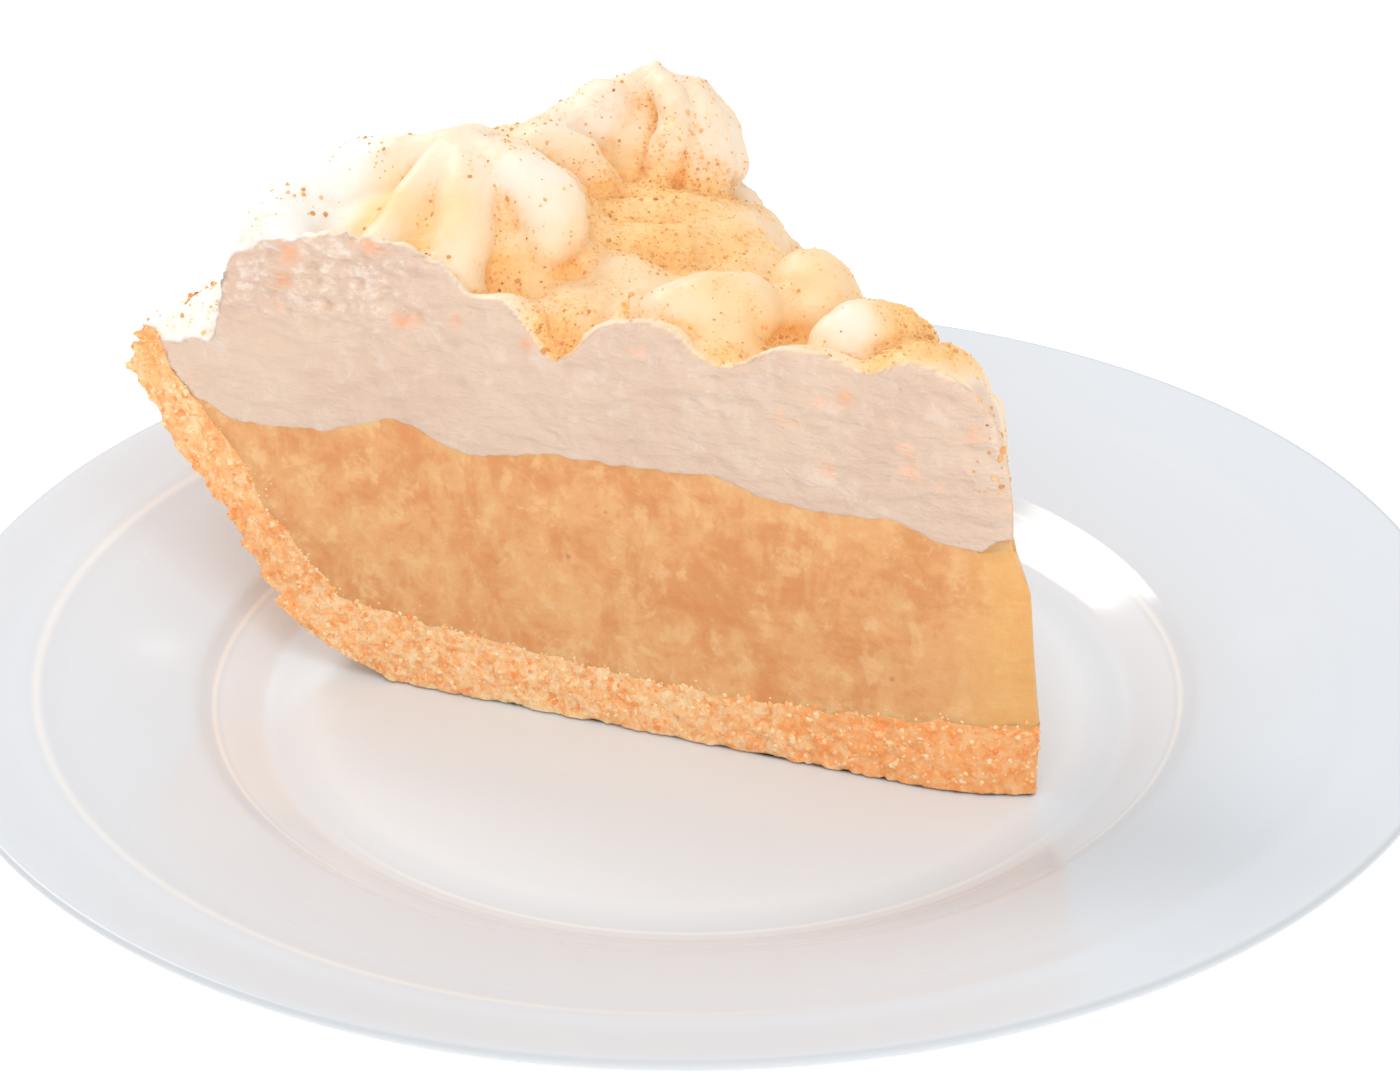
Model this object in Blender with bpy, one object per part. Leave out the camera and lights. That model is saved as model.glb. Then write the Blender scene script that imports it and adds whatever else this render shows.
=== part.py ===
"""A slice of banana cream pie standing on its white dessert plate.

The plate is a spun porcelain dish with a broad sloping rim and a foot ring.
The slice is a wedge of a ten inch pie.  A crumb crust carries a thick banana
custard, whipped cream covers it, and piped swirls and dollops stand on top.
Heights of the slice are measured up from its own underside.
"""
import math

import bmesh
import bpy
from mathutils import Vector, noise

MM = 0.001

# ---- plate, all in millimetres: (radius, height) going up the inside and back under the rim
PLATE_SIDES = 56
PLATE_PROFILE = [
    (0.0, 6.5), (30.0, 6.5), (56.5, 6.5), (60.5, 7.3), (63.6, 9.3), (65.6, 11.3), (68.2, 12.5),
    (82.0, 16.4), (98.2, 21.7), (99.6, 22.0), (100.0, 21.4), (99.2, 20.3),
    (72.0, 9.6), (62.5, 4.4), (58.4, 2.6), (57.6, 0.3), (56.6, 0.0), (54.0, 0.0), (53.0, 2.6), (0.0, 2.6),
]
PLATE_FLOOR = 6.5

# ---- the slice on the plate
AIR = 0.35
APEX = (45.9, -33.7)
NEAR_CUT_HEADING = 158.4
SLICE_ANGLE = 45.0

# ---- crust section, (radius from the apex, height): underside and outer wall, then inner wall
CRUST_OUTER = [
    (7.2, 0.0), (35.0, 0.0), (65.0, 0.0), (94.5, 0.0), (102.6, 3.0), (108.6, 5.8), (112.8, 11.3),
    (119.4, 23.3), (125.0, 30.0), (128.6, 36.5), (131.4, 41.4), (129.2, 47.6),
]
CRUST_INNER = [
    (8.6, 10.4), (28.4, 9.0), (40.6, 8.0), (63.2, 8.3), (88.2, 10.1), (101.5, 11.6), (104.6, 15.2),
    (112.3, 23.8), (115.4, 30.8), (120.6, 37.6), (124.9, 41.7), (126.9, 47.0),
]
CRUST_STEPS = 36
SECTORS = 16
CRUMB_SIZE = 4.5
CRUMB_DEPTH = 0.55
RIM_RAGGED = 1.5

# ---- custard, which fills the crust up to a wavy top: waves as (radius, rise, width)
CUSTARD_LEVEL = 37.5
CUSTARD_WAVES = [
    (15.5, -2.6, 4.5), (50.0, 1.8, 10.0), (80.0, -1.2, 4.0), (91.5, 3.0, 4.5), (110.0, -1.4, 6.0), (122.0, 2.8, 5.0),
]
WAVE_FADE = 0.4
CUSTARD_TIP = 11.0
CUSTARD_TIP_BULGE = 3.8
TIP_SKEW = 10.0
CUSTARD_STEPS = 33
CUSTARD_ROWS = 3
CUSTARD_SECTORS = 8
CUSTARD_REACH = CUSTARD_STEPS / CRUST_STEPS

# ---- whipped cream body: level between the lobes, then lobes as (radius, angle, width, top)
CREAM_TIP_TOP = 16.5
CREAM_TIP_BULGE = 3.0
CREAM_EDGE = 125.3
CREAM_NEAR = [(0.0, 57.0), (25.0, 55.0), (60.0, 54.0), (68.5, 51.0), (74.0, 56.0), (112.0, 56.6),
              (117.0, 49.0), (121.0, 47.5), (140.0, 47.0)]
CREAM_FAR = [(0.0, 50.0), (30.0, 49.0), (60.0, 49.5), (77.0, 50.0), (92.0, 53.5), (112.0, 55.5),
             (117.0, 49.0), (121.0, 47.5), (140.0, 47.0)]
CREAM_LOBES = [
    (19.5, 4.0, 10.5, 59.6), (36.0, -2.0, 9.0, 59.4), (57.5, -4.0, 11.5, 61.0), (76.0, -1.0, 7.0, 59.8),
    (64.0, 15.0, 9.5, 57.6), (75.0, 24.0, 9.0, 58.4), (66.0, 31.0, 10.0, 57.0), (80.0, 37.0, 9.0, 57.6),
    (106.0, -1.0, 9.5, 62.4),
]
LOBE_ROUND = 0.62
CREAM_LUMPS = 0.8
CREAM_THIN = 1.2
RUFFLES = 6
RUFFLE_RADIUS = 121.5
RUFFLE_WIDTH = 7.5
RUFFLE_TOP = 53.0
CREAM_ROWS = 4

# ---- piped pieces: (radius, angle, seat height, half width outward, half width across, top height)
SWIRL_NEAR = (92.0, 10.0, 57.0, 26.0, 22.5, 73.0)
SWIRL_FAR = (100.0, 36.3, 57.0, 19.5, 19.5, 70.3)
DOLLOP_BETWEEN = (104.0, 27.0, 57.0, 9.5, 9.0, 64.5)
DOLLOP_ROUND = (52.0, 12.0, 54.5, 9.3, 9.3, 62.0)
DOLLOP_BACK = (48.0, 31.0, 54.0, 7.8, 7.8, 61.2)
DOLLOP_TIP = (31.0, 20.5, 53.5, 8.4, 8.4, 60.6)
PIPED = [SWIRL_NEAR, SWIRL_FAR, DOLLOP_BETWEEN, DOLLOP_ROUND, DOLLOP_BACK, DOLLOP_TIP]
SEAT_MARGIN = 2.6
SEAT_SLOPE = 0.9


def fresh_scene():
    for thing in list(bpy.data.objects):
        bpy.data.objects.remove(thing, do_unlink=True)


def material(name, colour, roughness, coat=0.0, scatter=0.0):
    made = bpy.data.materials.new(name)
    made.use_nodes = True
    shader = made.node_tree.nodes["Principled BSDF"]
    shader.inputs["Base Color"].default_value = (*colour, 1.0)
    shader.inputs["Roughness"].default_value = roughness
    shader.inputs["Coat Weight"].default_value = coat
    shader.inputs["Subsurface Weight"].default_value = scatter
    return made


def empty(name, parent=None):
    holder = bpy.data.objects.new(name, None)
    bpy.context.scene.collection.objects.link(holder)
    holder.parent = parent
    return holder


def body(name, mesh, surface, parent):
    """One closed solid, its faces turned outward, hung on its frame."""
    bmesh.ops.remove_doubles(mesh, verts=mesh.verts, dist=0.002 * MM)
    bmesh.ops.dissolve_degenerate(mesh, edges=mesh.edges, dist=0.002 * MM)
    bmesh.ops.triangulate(mesh, faces=mesh.faces)
    bmesh.ops.recalc_face_normals(mesh, faces=mesh.faces)
    if mesh.calc_volume(signed=True) < 0.0:
        bmesh.ops.reverse_faces(mesh, faces=mesh.faces)
    data = bpy.data.meshes.new(name)
    mesh.to_mesh(data)
    mesh.free()
    data.materials.append(surface)
    thing = bpy.data.objects.new(name, data)
    bpy.context.scene.collection.objects.link(thing)
    thing.parent = parent
    return thing


def along(points, fraction):
    """The point at a fraction of the length of a broken line."""
    spans = [math.dist(a, b) for a, b in zip(points, points[1:])]
    left = fraction * sum(spans)
    for (a, b), span in zip(zip(points, points[1:]), spans):
        if left <= span:
            part = left / span
            return tuple(p + (q - p) * part for p, q in zip(a, b))
        left -= span
    return points[-1]


def lookup(table, place):
    """Straight line reading of a table of (place, value)."""
    for (a, low), (b, high) in zip(table, table[1:]):
        if place <= b:
            return low + (high - low) * (place - a) / (b - a)
    return table[-1][1]


def smooth(fraction):
    fraction = min(max(fraction, 0.0), 1.0)
    return fraction * fraction * (3.0 - 2.0 * fraction)


def wobble(x, y, z, size):
    return noise.noise(Vector((x / size, y / size, z / size)))


def flat_place(radius, degrees):
    """Plan position of a point of the slice, the near cut lying along +X."""
    turn = math.radians(degrees)
    return radius * math.cos(turn), -radius * math.sin(turn)


def tip_rounding(radius, edge, across, reach=30.0):
    """Draws the pointed end of a layer in to a rounded nose between the two cuts."""
    nose = 0.33 * edge * math.sin(math.pi * across)
    return nose * (1.0 - smooth((radius - edge) / reach))


def block(steps, rows, sectors, place):
    """Closed block of three grid directions, from place(step, row, sector) in millimetres."""
    mesh = bmesh.new()
    corner = {}
    for i in range(steps + 1):
        for j in range(rows + 1):
            for k in range(sectors + 1):
                if i in (0, steps) or j in (0, rows) or k in (0, sectors):
                    x, y, z = place(i / steps, j / rows, k / sectors)
                    corner[i, j, k] = mesh.verts.new((x * MM, y * MM, z * MM))

    def skin(a_count, b_count, pick):
        for a in range(a_count):
            for b in range(b_count):
                ring = [pick(a, b), pick(a + 1, b), pick(a + 1, b + 1), pick(a, b + 1)]
                mesh.faces.new([corner[key] for key in ring])

    for side in (0, sectors):
        skin(steps, rows, lambda a, b, s=side: (a, b, s))
    for side in (0, rows):
        skin(steps, sectors, lambda a, b, s=side: (a, s, b))
    for side in (0, steps):
        skin(rows, sectors, lambda a, b, s=side: (s, a, b))
    return mesh


# ---- plate

def plate(surface):
    mesh = bmesh.new()
    rings = []
    for radius, height in PLATE_PROFILE:
        if radius == 0.0:
            rings.append([mesh.verts.new((0.0, 0.0, height * MM))])
            continue
        turns = [math.tau * side / PLATE_SIDES for side in range(PLATE_SIDES)]
        rings.append([mesh.verts.new((radius * MM * math.cos(t), radius * MM * math.sin(t), height * MM))
                      for t in turns])
    for low, high in zip(rings, rings[1:]):
        for side in range(PLATE_SIDES):
            after = (side + 1) % PLATE_SIDES
            face = [low[side % len(low)], low[after % len(low)], high[after % len(high)], high[side % len(high)]]
            mesh.faces.new(list(dict.fromkeys(face)))
    return body("plate", mesh, surface, None)


# ---- layers of the slice

def layer(section, steps, rows, sectors):
    """A wedge shaped layer; section(step, row, across) gives its radius and height."""
    def place(step, row, across):
        radius, height = section(step, row, across)
        edge = section(0.0, row, across)[0]
        radius -= tip_rounding(radius, edge, across)
        x, y = flat_place(radius, across * SLICE_ANGLE)
        return x, y, height
    return block(steps, rows, sectors, place)


def between(low, high, part):
    return low[0] + (high[0] - low[0]) * part, low[1] + (high[1] - low[1]) * part


def crust_section(step, row, across):
    if row > 0.0:
        return along(CRUST_INNER, step)
    radius, height = along(CRUST_OUTER, step)
    x, y = flat_place(radius, across * SLICE_ANGLE)
    if height > 0.5:
        crumb = CRUMB_DEPTH * wobble(x, y, height, CRUMB_SIZE)
        radius += 2.0 * crumb
        height += crumb
    if step == 1.0:
        height += RIM_RAGGED * wobble(x, y, height, 2.0 * CRUMB_SIZE)
    return radius, height


def crust_lining(step):
    """The inner line of the crust, moved off it by the air gap."""
    here = along(CRUST_INNER, step)
    behind = along(CRUST_INNER, max(step - 0.01, 0.0))
    ahead = along(CRUST_INNER, min(step + 0.01, 1.0))
    run = math.dist(behind, ahead)
    return here[0] - AIR * (ahead[1] - behind[1]) / run, here[1] + AIR * (ahead[0] - behind[0]) / run


CUSTARD_END = crust_lining(CUSTARD_REACH)[0] - 0.2


def tip_skew(fraction, across):
    """The nose of the filling and cream is worn back toward the far cut."""
    return TIP_SKEW * across * (1.0 - smooth(fraction))


def custard_top(step, across):
    radius = CUSTARD_TIP + (CUSTARD_END - CUSTARD_TIP) * step + tip_skew(4.0 * step, across)
    height = CUSTARD_LEVEL
    for centre, rise, width in CUSTARD_WAVES:
        height += (1.0 - WAVE_FADE * across) * rise * math.exp(-((radius - centre) / width) ** 2)
    return radius, height


def custard_section(step, row, across):
    radius, height = between(crust_lining(step * CUSTARD_REACH), custard_top(step, across), row)
    near_tip = 1.0 - smooth(step * 8.0)
    return radius - CUSTARD_TIP_BULGE * math.sin(math.pi * row) * near_tip, height


def seated(x, y, height):
    """Raises or lowers the cream to the seat of each piped piece."""
    for radius, angle, seat, wide, _, _ in PIPED:
        cx, cy = flat_place(radius, angle)
        away = math.hypot(x - cx, y - cy) - wide
        if away < SEAT_MARGIN:
            height = min(height, seat)
        height = min(height, seat + max(away - SEAT_MARGIN, 0.0) * 1.4)
        height = max(height, seat - max(away + SEAT_MARGIN, 0.0) * SEAT_SLOPE)
    return height


def dome(x, y, centre, width, top, drop):
    """Height of a round cap over a point, or nothing outside it."""
    cx, cy = flat_place(*centre)
    away = math.hypot(x - cx, y - cy) / width
    if away >= 1.0:
        return 0.0
    return top - drop * (1.0 - math.sqrt(1.0 - away * away))


def cream_top(radius, across):
    x, y = flat_place(radius, across * SLICE_ANGLE)
    near, far = lookup(CREAM_NEAR, radius), lookup(CREAM_FAR, radius)
    level = near + (far - near) * smooth(across)
    heights = [level + CREAM_LUMPS * wobble(x, y, 0.0, 11.0)]
    for place, turn, width, top in CREAM_LOBES:
        heights.append(dome(x, y, (place, turn), width, top, LOBE_ROUND * width))
    for ruffle in range(RUFFLES):
        turn = (ruffle + 0.5) * SLICE_ANGLE / RUFFLES
        heights.append(dome(x, y, (RUFFLE_RADIUS, turn), RUFFLE_WIDTH, RUFFLE_TOP, RUFFLE_WIDTH))
    return seated(x, y, max(heights))


def cream_floor(step, across):
    """Over the custard first, then up the last of the crust wall to its rim."""
    if step <= CUSTARD_REACH:
        radius, height = custard_top(step / CUSTARD_REACH, across)
        return radius, height + AIR
    return crust_lining(step)


def cream_section(step, row, across):
    low = cream_floor(step, across)
    radius = CREAM_TIP_TOP + (CREAM_EDGE - CREAM_TIP_TOP) * step + tip_skew(3.6 * step, across)
    high = (radius, max(cream_top(radius, across), low[1] + CREAM_THIN))
    radius, height = between(low, high, row)
    near_tip = 1.0 - smooth(step * 7.0)
    return radius - CREAM_TIP_BULGE * math.sin(math.pi * row) * near_tip, height


# ---- piped pieces

def lobed(turn, count):
    """Round crests with tight valleys, from 0 in a valley to 1 on a crest."""
    return abs(math.cos(0.5 * count * turn)) ** 0.6


def squeezed(spec, x, y):
    """Neighbouring pieces press flat against each other instead of crossing."""
    cx, cy = flat_place(spec[0], spec[1])
    for other in PIPED:
        if other is spec:
            continue
        ox, oy = flat_place(other[0], other[1])
        apart = math.hypot(ox - cx, oy - cy)
        wall = apart * spec[4] / (spec[4] + other[4]) - 0.5 * AIR
        out = ((x - cx) * (ox - cx) + (y - cy) * (oy - cy)) / apart
        if out > wall:
            x = cx + (x - cx) * wall / out
            y = cy + (y - cy) * wall / out
    return x, y


def piped(name, spec, surface, parent, lobes, depth, twist, phase, around, rows, lean, peak):
    """A star piped swirl: a dome whose lobes wind up to a leaning peak."""
    radius, angle, seat, wide, deep, top = spec
    cx, cy = flat_place(radius, angle)
    outward = math.atan2(cy, cx)
    mesh = bmesh.new()
    floor = seat + AIR
    rise = top - floor
    rings = []
    for row in range(rows):
        part = row / rows
        arc = 0.5 * math.pi * part
        size = (math.cos(arc) ** peak) * (0.9 + 0.1 * math.sin(math.pi * min(part * 2.5, 1.0)))
        height = floor + rise * math.sin(arc) ** 1.15
        shift = smooth(part)
        fade = depth * (0.55 + 0.45 * math.sin(math.pi * min(part * 1.3, 1.0)))
        ring = []
        for side in range(around):
            turn = math.tau * side / around
            crest = lobed(turn, lobes)
            turn += phase - twist * part
            reach = size * (1.0 - fade * (1.0 - crest))
            reach *= 0.97 + 0.07 * wobble(math.cos(turn), math.sin(turn), radius, 0.9)
            along_x, along_y = reach * wide * math.cos(turn), reach * deep * math.sin(turn)
            x = cx + along_x * math.cos(outward) - along_y * math.sin(outward) + lean[0] * shift
            y = cy + along_x * math.sin(outward) + along_y * math.cos(outward) + lean[1] * shift
            x, y = squeezed(spec, x, y)
            sag = 0.10 * rise * (1.0 - crest) * math.sin(math.pi * part)
            ring.append(mesh.verts.new((x * MM, y * MM, (height - sag) * MM)))
        rings.append(ring)
    tip = mesh.verts.new(((cx + lean[0]) * MM, (cy + lean[1]) * MM, top * MM))
    for low, high in zip(rings, rings[1:]):
        for side in range(around):
            after = (side + 1) % around
            mesh.faces.new([low[side], low[after], high[after], high[side]])
    for side in range(around):
        mesh.faces.new([rings[-1][side], rings[-1][(side + 1) % around], tip])
    mesh.faces.new(list(reversed(rings[0])))
    trim_to_cuts(mesh)
    return body(name, mesh, surface, parent)


def trim_to_cuts(mesh):
    """The two knife cuts of the slice pass straight through the piped cream."""
    far = math.radians(SLICE_ANGLE)
    cuts = [Vector((0.0, 1.0, 0.0)), Vector((-math.sin(far), -math.cos(far), 0.0))]
    for normal in cuts:
        if all(corner.co.dot(normal) < 0.0 for corner in mesh.verts):
            continue
        bmesh.ops.triangulate(mesh, faces=mesh.faces)
        everything = mesh.verts[:] + mesh.edges[:] + mesh.faces[:]
        bmesh.ops.bisect_plane(mesh, geom=everything, dist=0.01 * MM, plane_co=(0.0, 0.0, 0.0),
                               plane_no=normal, clear_outer=True)
        rim = [edge for edge in mesh.edges if edge.is_boundary]
        bmesh.ops.holes_fill(mesh, edges=rim, sides=0)


def build():
    fresh_scene()
    porcelain = material("white glazed porcelain", (0.86, 0.86, 0.87), 0.12, coat=0.6)
    plate(porcelain)

    slice_frame = empty("slice frame")
    slice_frame.location = (APEX[0] * MM, APEX[1] * MM, (PLATE_FLOOR + AIR) * MM)
    slice_frame.rotation_euler = (0.0, 0.0, math.radians(NEAR_CUT_HEADING))

    crumb = material("baked crumb crust", (0.78, 0.46, 0.17), 0.75)
    custard = material("banana custard", (0.86, 0.46, 0.16), 0.45, scatter=0.2)
    cream = material("whipped cream", (0.93, 0.82, 0.66), 0.55, scatter=0.3)

    body("crumb_crust", layer(crust_section, CRUST_STEPS, 1, SECTORS), crumb, slice_frame)
    body("banana_custard", layer(custard_section, CUSTARD_STEPS, CUSTARD_ROWS, CUSTARD_SECTORS), custard,
         slice_frame)
    body("whipped_cream", layer(cream_section, CRUST_STEPS, CREAM_ROWS, SECTORS), cream, slice_frame)

    piped("swirl_near", SWIRL_NEAR, cream, slice_frame, lobes=5, depth=0.36, twist=0.9, phase=1.18,
          around=50, rows=12, lean=(1.5, 2.0), peak=0.72)
    piped("swirl_far", SWIRL_FAR, cream, slice_frame, lobes=6, depth=0.34, twist=1.0, phase=0.1,
          around=48, rows=12, lean=(-1.0, 1.0), peak=0.7)
    piped("dollop_between", DOLLOP_BETWEEN, cream, slice_frame, lobes=5, depth=0.08, twist=0.5, phase=0.2,
          around=24, rows=8, lean=(0.0, 0.0), peak=0.8)
    piped("dollop_round", DOLLOP_ROUND, cream, slice_frame, lobes=5, depth=0.05, twist=0.3, phase=0.0,
          around=24, rows=8, lean=(1.0, 1.5), peak=0.7)
    piped("dollop_back", DOLLOP_BACK, cream, slice_frame, lobes=4, depth=0.06, twist=0.4, phase=0.5,
          around=20, rows=7, lean=(0.0, 0.0), peak=0.75)
    piped("dollop_tip", DOLLOP_TIP, cream, slice_frame, lobes=5, depth=0.08, twist=0.4, phase=1.0,
          around=20, rows=7, lean=(-1.0, 0.0), peak=0.75)


build()
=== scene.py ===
"""A slice of banana cream pie on its white dessert plate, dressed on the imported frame.

The slice's own measures are in millimetres in its flat frame: x runs out from the pointed end along the near
cut, y is minus inside the slice, and height goes up from the slice's underside.
"""
import math

import bmesh
import bpy
import numpy as np
from mathutils import Matrix, Vector, noise


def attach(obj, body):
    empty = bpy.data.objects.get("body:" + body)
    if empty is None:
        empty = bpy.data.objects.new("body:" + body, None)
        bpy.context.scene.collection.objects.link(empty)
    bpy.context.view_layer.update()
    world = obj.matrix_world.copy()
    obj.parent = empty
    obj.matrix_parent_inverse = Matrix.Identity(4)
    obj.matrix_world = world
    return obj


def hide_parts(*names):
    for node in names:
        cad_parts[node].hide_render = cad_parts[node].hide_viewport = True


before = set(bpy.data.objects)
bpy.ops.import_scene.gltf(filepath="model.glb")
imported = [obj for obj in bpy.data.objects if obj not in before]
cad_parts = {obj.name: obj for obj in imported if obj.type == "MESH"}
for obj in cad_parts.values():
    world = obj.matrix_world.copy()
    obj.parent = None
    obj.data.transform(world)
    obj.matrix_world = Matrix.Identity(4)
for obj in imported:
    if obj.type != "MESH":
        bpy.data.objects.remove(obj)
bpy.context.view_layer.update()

MM = 0.001
FRAME_WIDTH = 1400

# ---- where the slice stands on the plate
APEX = (45.9, -33.7)
NEAR_CUT_HEADING = 158.4
SLICE_ANGLE = 45.0
PLATE_FLOOR = 6.5
AIR = 0.35
SLICE_FLOOR = PLATE_FLOOR + AIR

# ---- plate section, (radius, height)
PLATE_SIDES = 288
PLATE_PROFILE = [
    (0, 6.5), (30, 6.5), (56, 6.5), (58.8, 6.85), (60.4, 7.6), (63, 9.05), (66.2, 10.9), (67.3, 11.65),
    (68.6, 12.15), (84, 16.95), (88, 18.5), (91.5, 19.4), (98.2, 21.7), (99.6, 22), (100, 21.4), (99.2, 20.3),
    (72, 9.6), (62.5, 4.4), (58.4, 2.6), (57.6, 0.3), (56.6, 0), (54, 0), (53, 2.6), (0, 2.6),
]

# ---- where crust and custard end at the point, and how far behind its plane a cut's face lies
TIP_END = 7.4
CUSTARD_TIP = 9.2
FACE_LEVEL = -0.15

# ---- the cream's lap over the crust's rim: its height, and its radius far from and beside the near cut
RIM_TOP = 46.6
LAP_RADIUS = 128.0
LAP_MORE = 2.2

# ---- how deep the cream reaches below the custard's top, and how far it is drawn in there
CREAM_BURIED = 1.5
CREAM_TUCK = 0.3

# ---- crust section, (radius from the apex, height)
CRUST_OUTER = [
    (TIP_END, 0), (35, 0), (65, 0), (94.5, 0), (102.6, 3), (108.6, 5.8), (112.8, 11.3),
    (119.4, 23.3), (125, 30), (128.6, 36.5), (131.4, 41.4), (129.2, 47.6),
]
CRUST_INNER = [
    (TIP_END, 10.4), (28.4, 9), (40.6, 8), (63.2, 8.3), (88.2, 10.1), (101.5, 11.6), (104.6, 15.2),
    (112.3, 23.8), (115.4, 30.8), (120.6, 37.6), (124.9, 41.7), (126.9, 47),
]

# ---- custard top along the near cut, (radius, height), and the plain level far inside
CUSTARD_TOP_NEAR = [
    (6, 36.6), (8.5, 37.1), (10.5, 36.2), (12.3, 34.2), (14.8, 34.6), (19.9, 36), (22.5, 37.6), (27.6, 37.1),
    (32.8, 36.9), (38, 37.4), (43.3, 38.3), (46, 39.4), (56.8, 38.8), (67.8, 38.9), (76.3, 37.5),
    (80.6, 36.8), (83.5, 37.5), (87.7, 39), (92, 40.6), (96.5, 39), (99.6, 37.5), (108.8, 36.3),
    (114.9, 36.1), (120.8, 38.6), (125.4, 39.6), (130, 39.6),
]
CUSTARD_LEVEL = 37.5

# ---- top edge of the cream along the near cut
CREAM_EDGE_NEAR = [
    (0, 59), (12.7, 56.8), (14.6, 58.4), (17, 59.2), (19.4, 58.8), (24.3, 57.1), (26.8, 55.7), (29.3, 56.4),
    (33.1, 58.9), (38.1, 58.8), (43.3, 56.3), (45.9, 54.3), (48.5, 55.5), (52.4, 58.7), (55, 59.8),
    (59, 58.8), (61.7, 57.4), (65.2, 54.2), (68.3, 51.5), (71.3, 54.7), (75.2, 59.3), (79.4, 59.4),
    (83.2, 63.6), (88.7, 65.6), (98.7, 65.5), (103, 64.8), (109.2, 62), (113.9, 59.5), (116.2, 56),
    (116.6, 51.5), (118.3, 47.4), (123.8, 46), (131, 46),
]

# ---- level of the cream between the lobes, near cut and far cut
CREAM_RIM = [(122, 49), (128, 47.5), (140, 47)]
CREAM_NEAR = [(0, 57), (25, 55), (60, 54), (68.5, 52), (74, 56), (112, 56.6), (118, 51), *CREAM_RIM]
CREAM_FAR = [(0, 50), (30, 49), (60, 49.5), (77, 50), (92, 53.5), (112, 55.5), (118, 50.5), *CREAM_RIM]


# ======== small helpers

def smooth(part):
    """From 0 to 1 with soft ends."""
    part = np.clip(part, 0.0, 1.0)
    return part * part * (3.0 - 2.0 * part)


def rising(value, start, width):
    """0 up to the start, 1 from a width past it, and smooth between."""
    return smooth((value - start) / width)


def falling(value, start, width):
    """1 up to the start, and 0 from a width past it."""
    return 1.0 - rising(value, start, width)


def reading(table, place):
    """Straight line reading of a table, for one place or many."""
    xs, ys = zip(*table)
    return np.interp(place, xs, ys)


def soft_reading(table, place, width):
    """Reading of a table with its corners rounded over a width."""
    offsets = np.linspace(-1.0, 1.0, 7)
    weights = 1.0 - 0.8 * offsets ** 2
    total = sum(w * reading(table, place + o * width) for o, w in zip(offsets, weights))
    return total / weights.sum()


def along(points, fraction):
    """The place at a fraction of the length of a section."""
    spans = np.hypot(*np.diff(np.array(points), axis=0).T)
    places = np.concatenate([[0.0], np.cumsum(spans)]) / spans.sum()
    xs, ys = zip(*points)
    return np.interp(fraction, places, xs), np.interp(fraction, places, ys)


def rounded_line(points, count):
    """Points along a smooth curve through a section's own points."""
    points = np.array(points, float)
    ends = np.vstack([2 * points[0] - points[1], points, 2 * points[-1] - points[-2]])
    spans = np.maximum(np.hypot(*np.diff(points, axis=0).T), 1e-6)
    places = np.concatenate([[0.0], np.cumsum(spans)])
    made = []
    for want in np.linspace(0.0, places[-1], count):
        i = int(np.clip(np.searchsorted(places, want, side="right") - 1, 0, len(points) - 2))
        t = (want - places[i]) / spans[i]
        p0, p1, p2, p3 = ends[i:i + 4]
        slope1 = (p2 - p0) * spans[i] / max(np.linalg.norm(p2 - p1) + np.linalg.norm(p1 - p0), 1e-6)
        slope2 = (p3 - p1) * spans[i] / max(np.linalg.norm(p3 - p2) + np.linalg.norm(p2 - p1), 1e-6)
        made.append((2 * t ** 3 - 3 * t ** 2 + 1) * p1 + (t ** 3 - 2 * t ** 2 + t) * slope1
                    + (-2 * t ** 3 + 3 * t ** 2) * p2 + (t ** 3 - t ** 2) * slope2)
    return np.array(made)


def wobbles(points, size, seed=0.0):
    """Smooth noise, about -1 to 1, at many points in millimetres."""
    shift = Vector((seed * 7.31, seed * 3.17, seed * 5.71))
    return np.array([noise.noise(Vector(p) / size + shift) for p in points.tolist()])


def to_plate(points):
    """From the slice's flat frame in millimetres to the part's frame in metres."""
    turn = math.radians(NEAR_CUT_HEADING)
    x = APEX[0] + points[:, 0] * math.cos(turn) - points[:, 1] * math.sin(turn)
    y = APEX[1] + points[:, 0] * math.sin(turn) + points[:, 1] * math.cos(turn)
    return np.stack([x, y, points[:, 2] + SLICE_FLOOR], axis=1) * MM


def to_slice(points):
    """From the part's frame to x, y and height in the slice's flat frame, both in millimetres."""
    turn = math.radians(NEAR_CUT_HEADING)
    x, y = points[:, 0] - APEX[0], points[:, 1] - APEX[1]
    out, aside = x * math.cos(turn) + y * math.sin(turn), y * math.cos(turn) - x * math.sin(turn)
    return out, aside, points[:, 2] - SLICE_FLOOR


def new_object(name, data):
    made = bpy.data.objects.new(name, data)
    bpy.context.scene.collection.objects.link(made)
    return made


def mesh_piece(name, points, faces, finish):
    """A piece from points in metres and its faces."""
    data = bpy.data.meshes.new(name)
    data.from_pydata(points.tolist(), [], faces)
    data.materials.append(finish)
    for face in data.polygons:
        face.use_smooth = True
    data.update()
    return new_object(name, data)


def face_outward(piece):
    """Joins points that fall together and turns all faces outwards."""
    mesh = bmesh.new()
    mesh.from_mesh(piece.data)
    bmesh.ops.remove_doubles(mesh, verts=mesh.verts, dist=0.001 * MM)
    bmesh.ops.recalc_face_normals(mesh, faces=mesh.faces)
    if mesh.calc_volume(signed=True) < 0.0:
        bmesh.ops.reverse_faces(mesh, faces=mesh.faces)
    mesh.to_mesh(piece.data)
    mesh.free()
    return piece


def positions(piece):
    """A piece's points in the part's frame, in millimetres."""
    found = np.zeros(len(piece.data.vertices) * 3, np.float32)
    piece.data.vertices.foreach_get("co", found)
    return found.reshape(-1, 3) / MM


def mark(piece, name, values):
    """Keeps a number for every point of a piece."""
    kept = piece.data.attributes.new(name, "FLOAT", "POINT")
    kept.data.foreach_set("value", np.asarray(values, np.float32))


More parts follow.
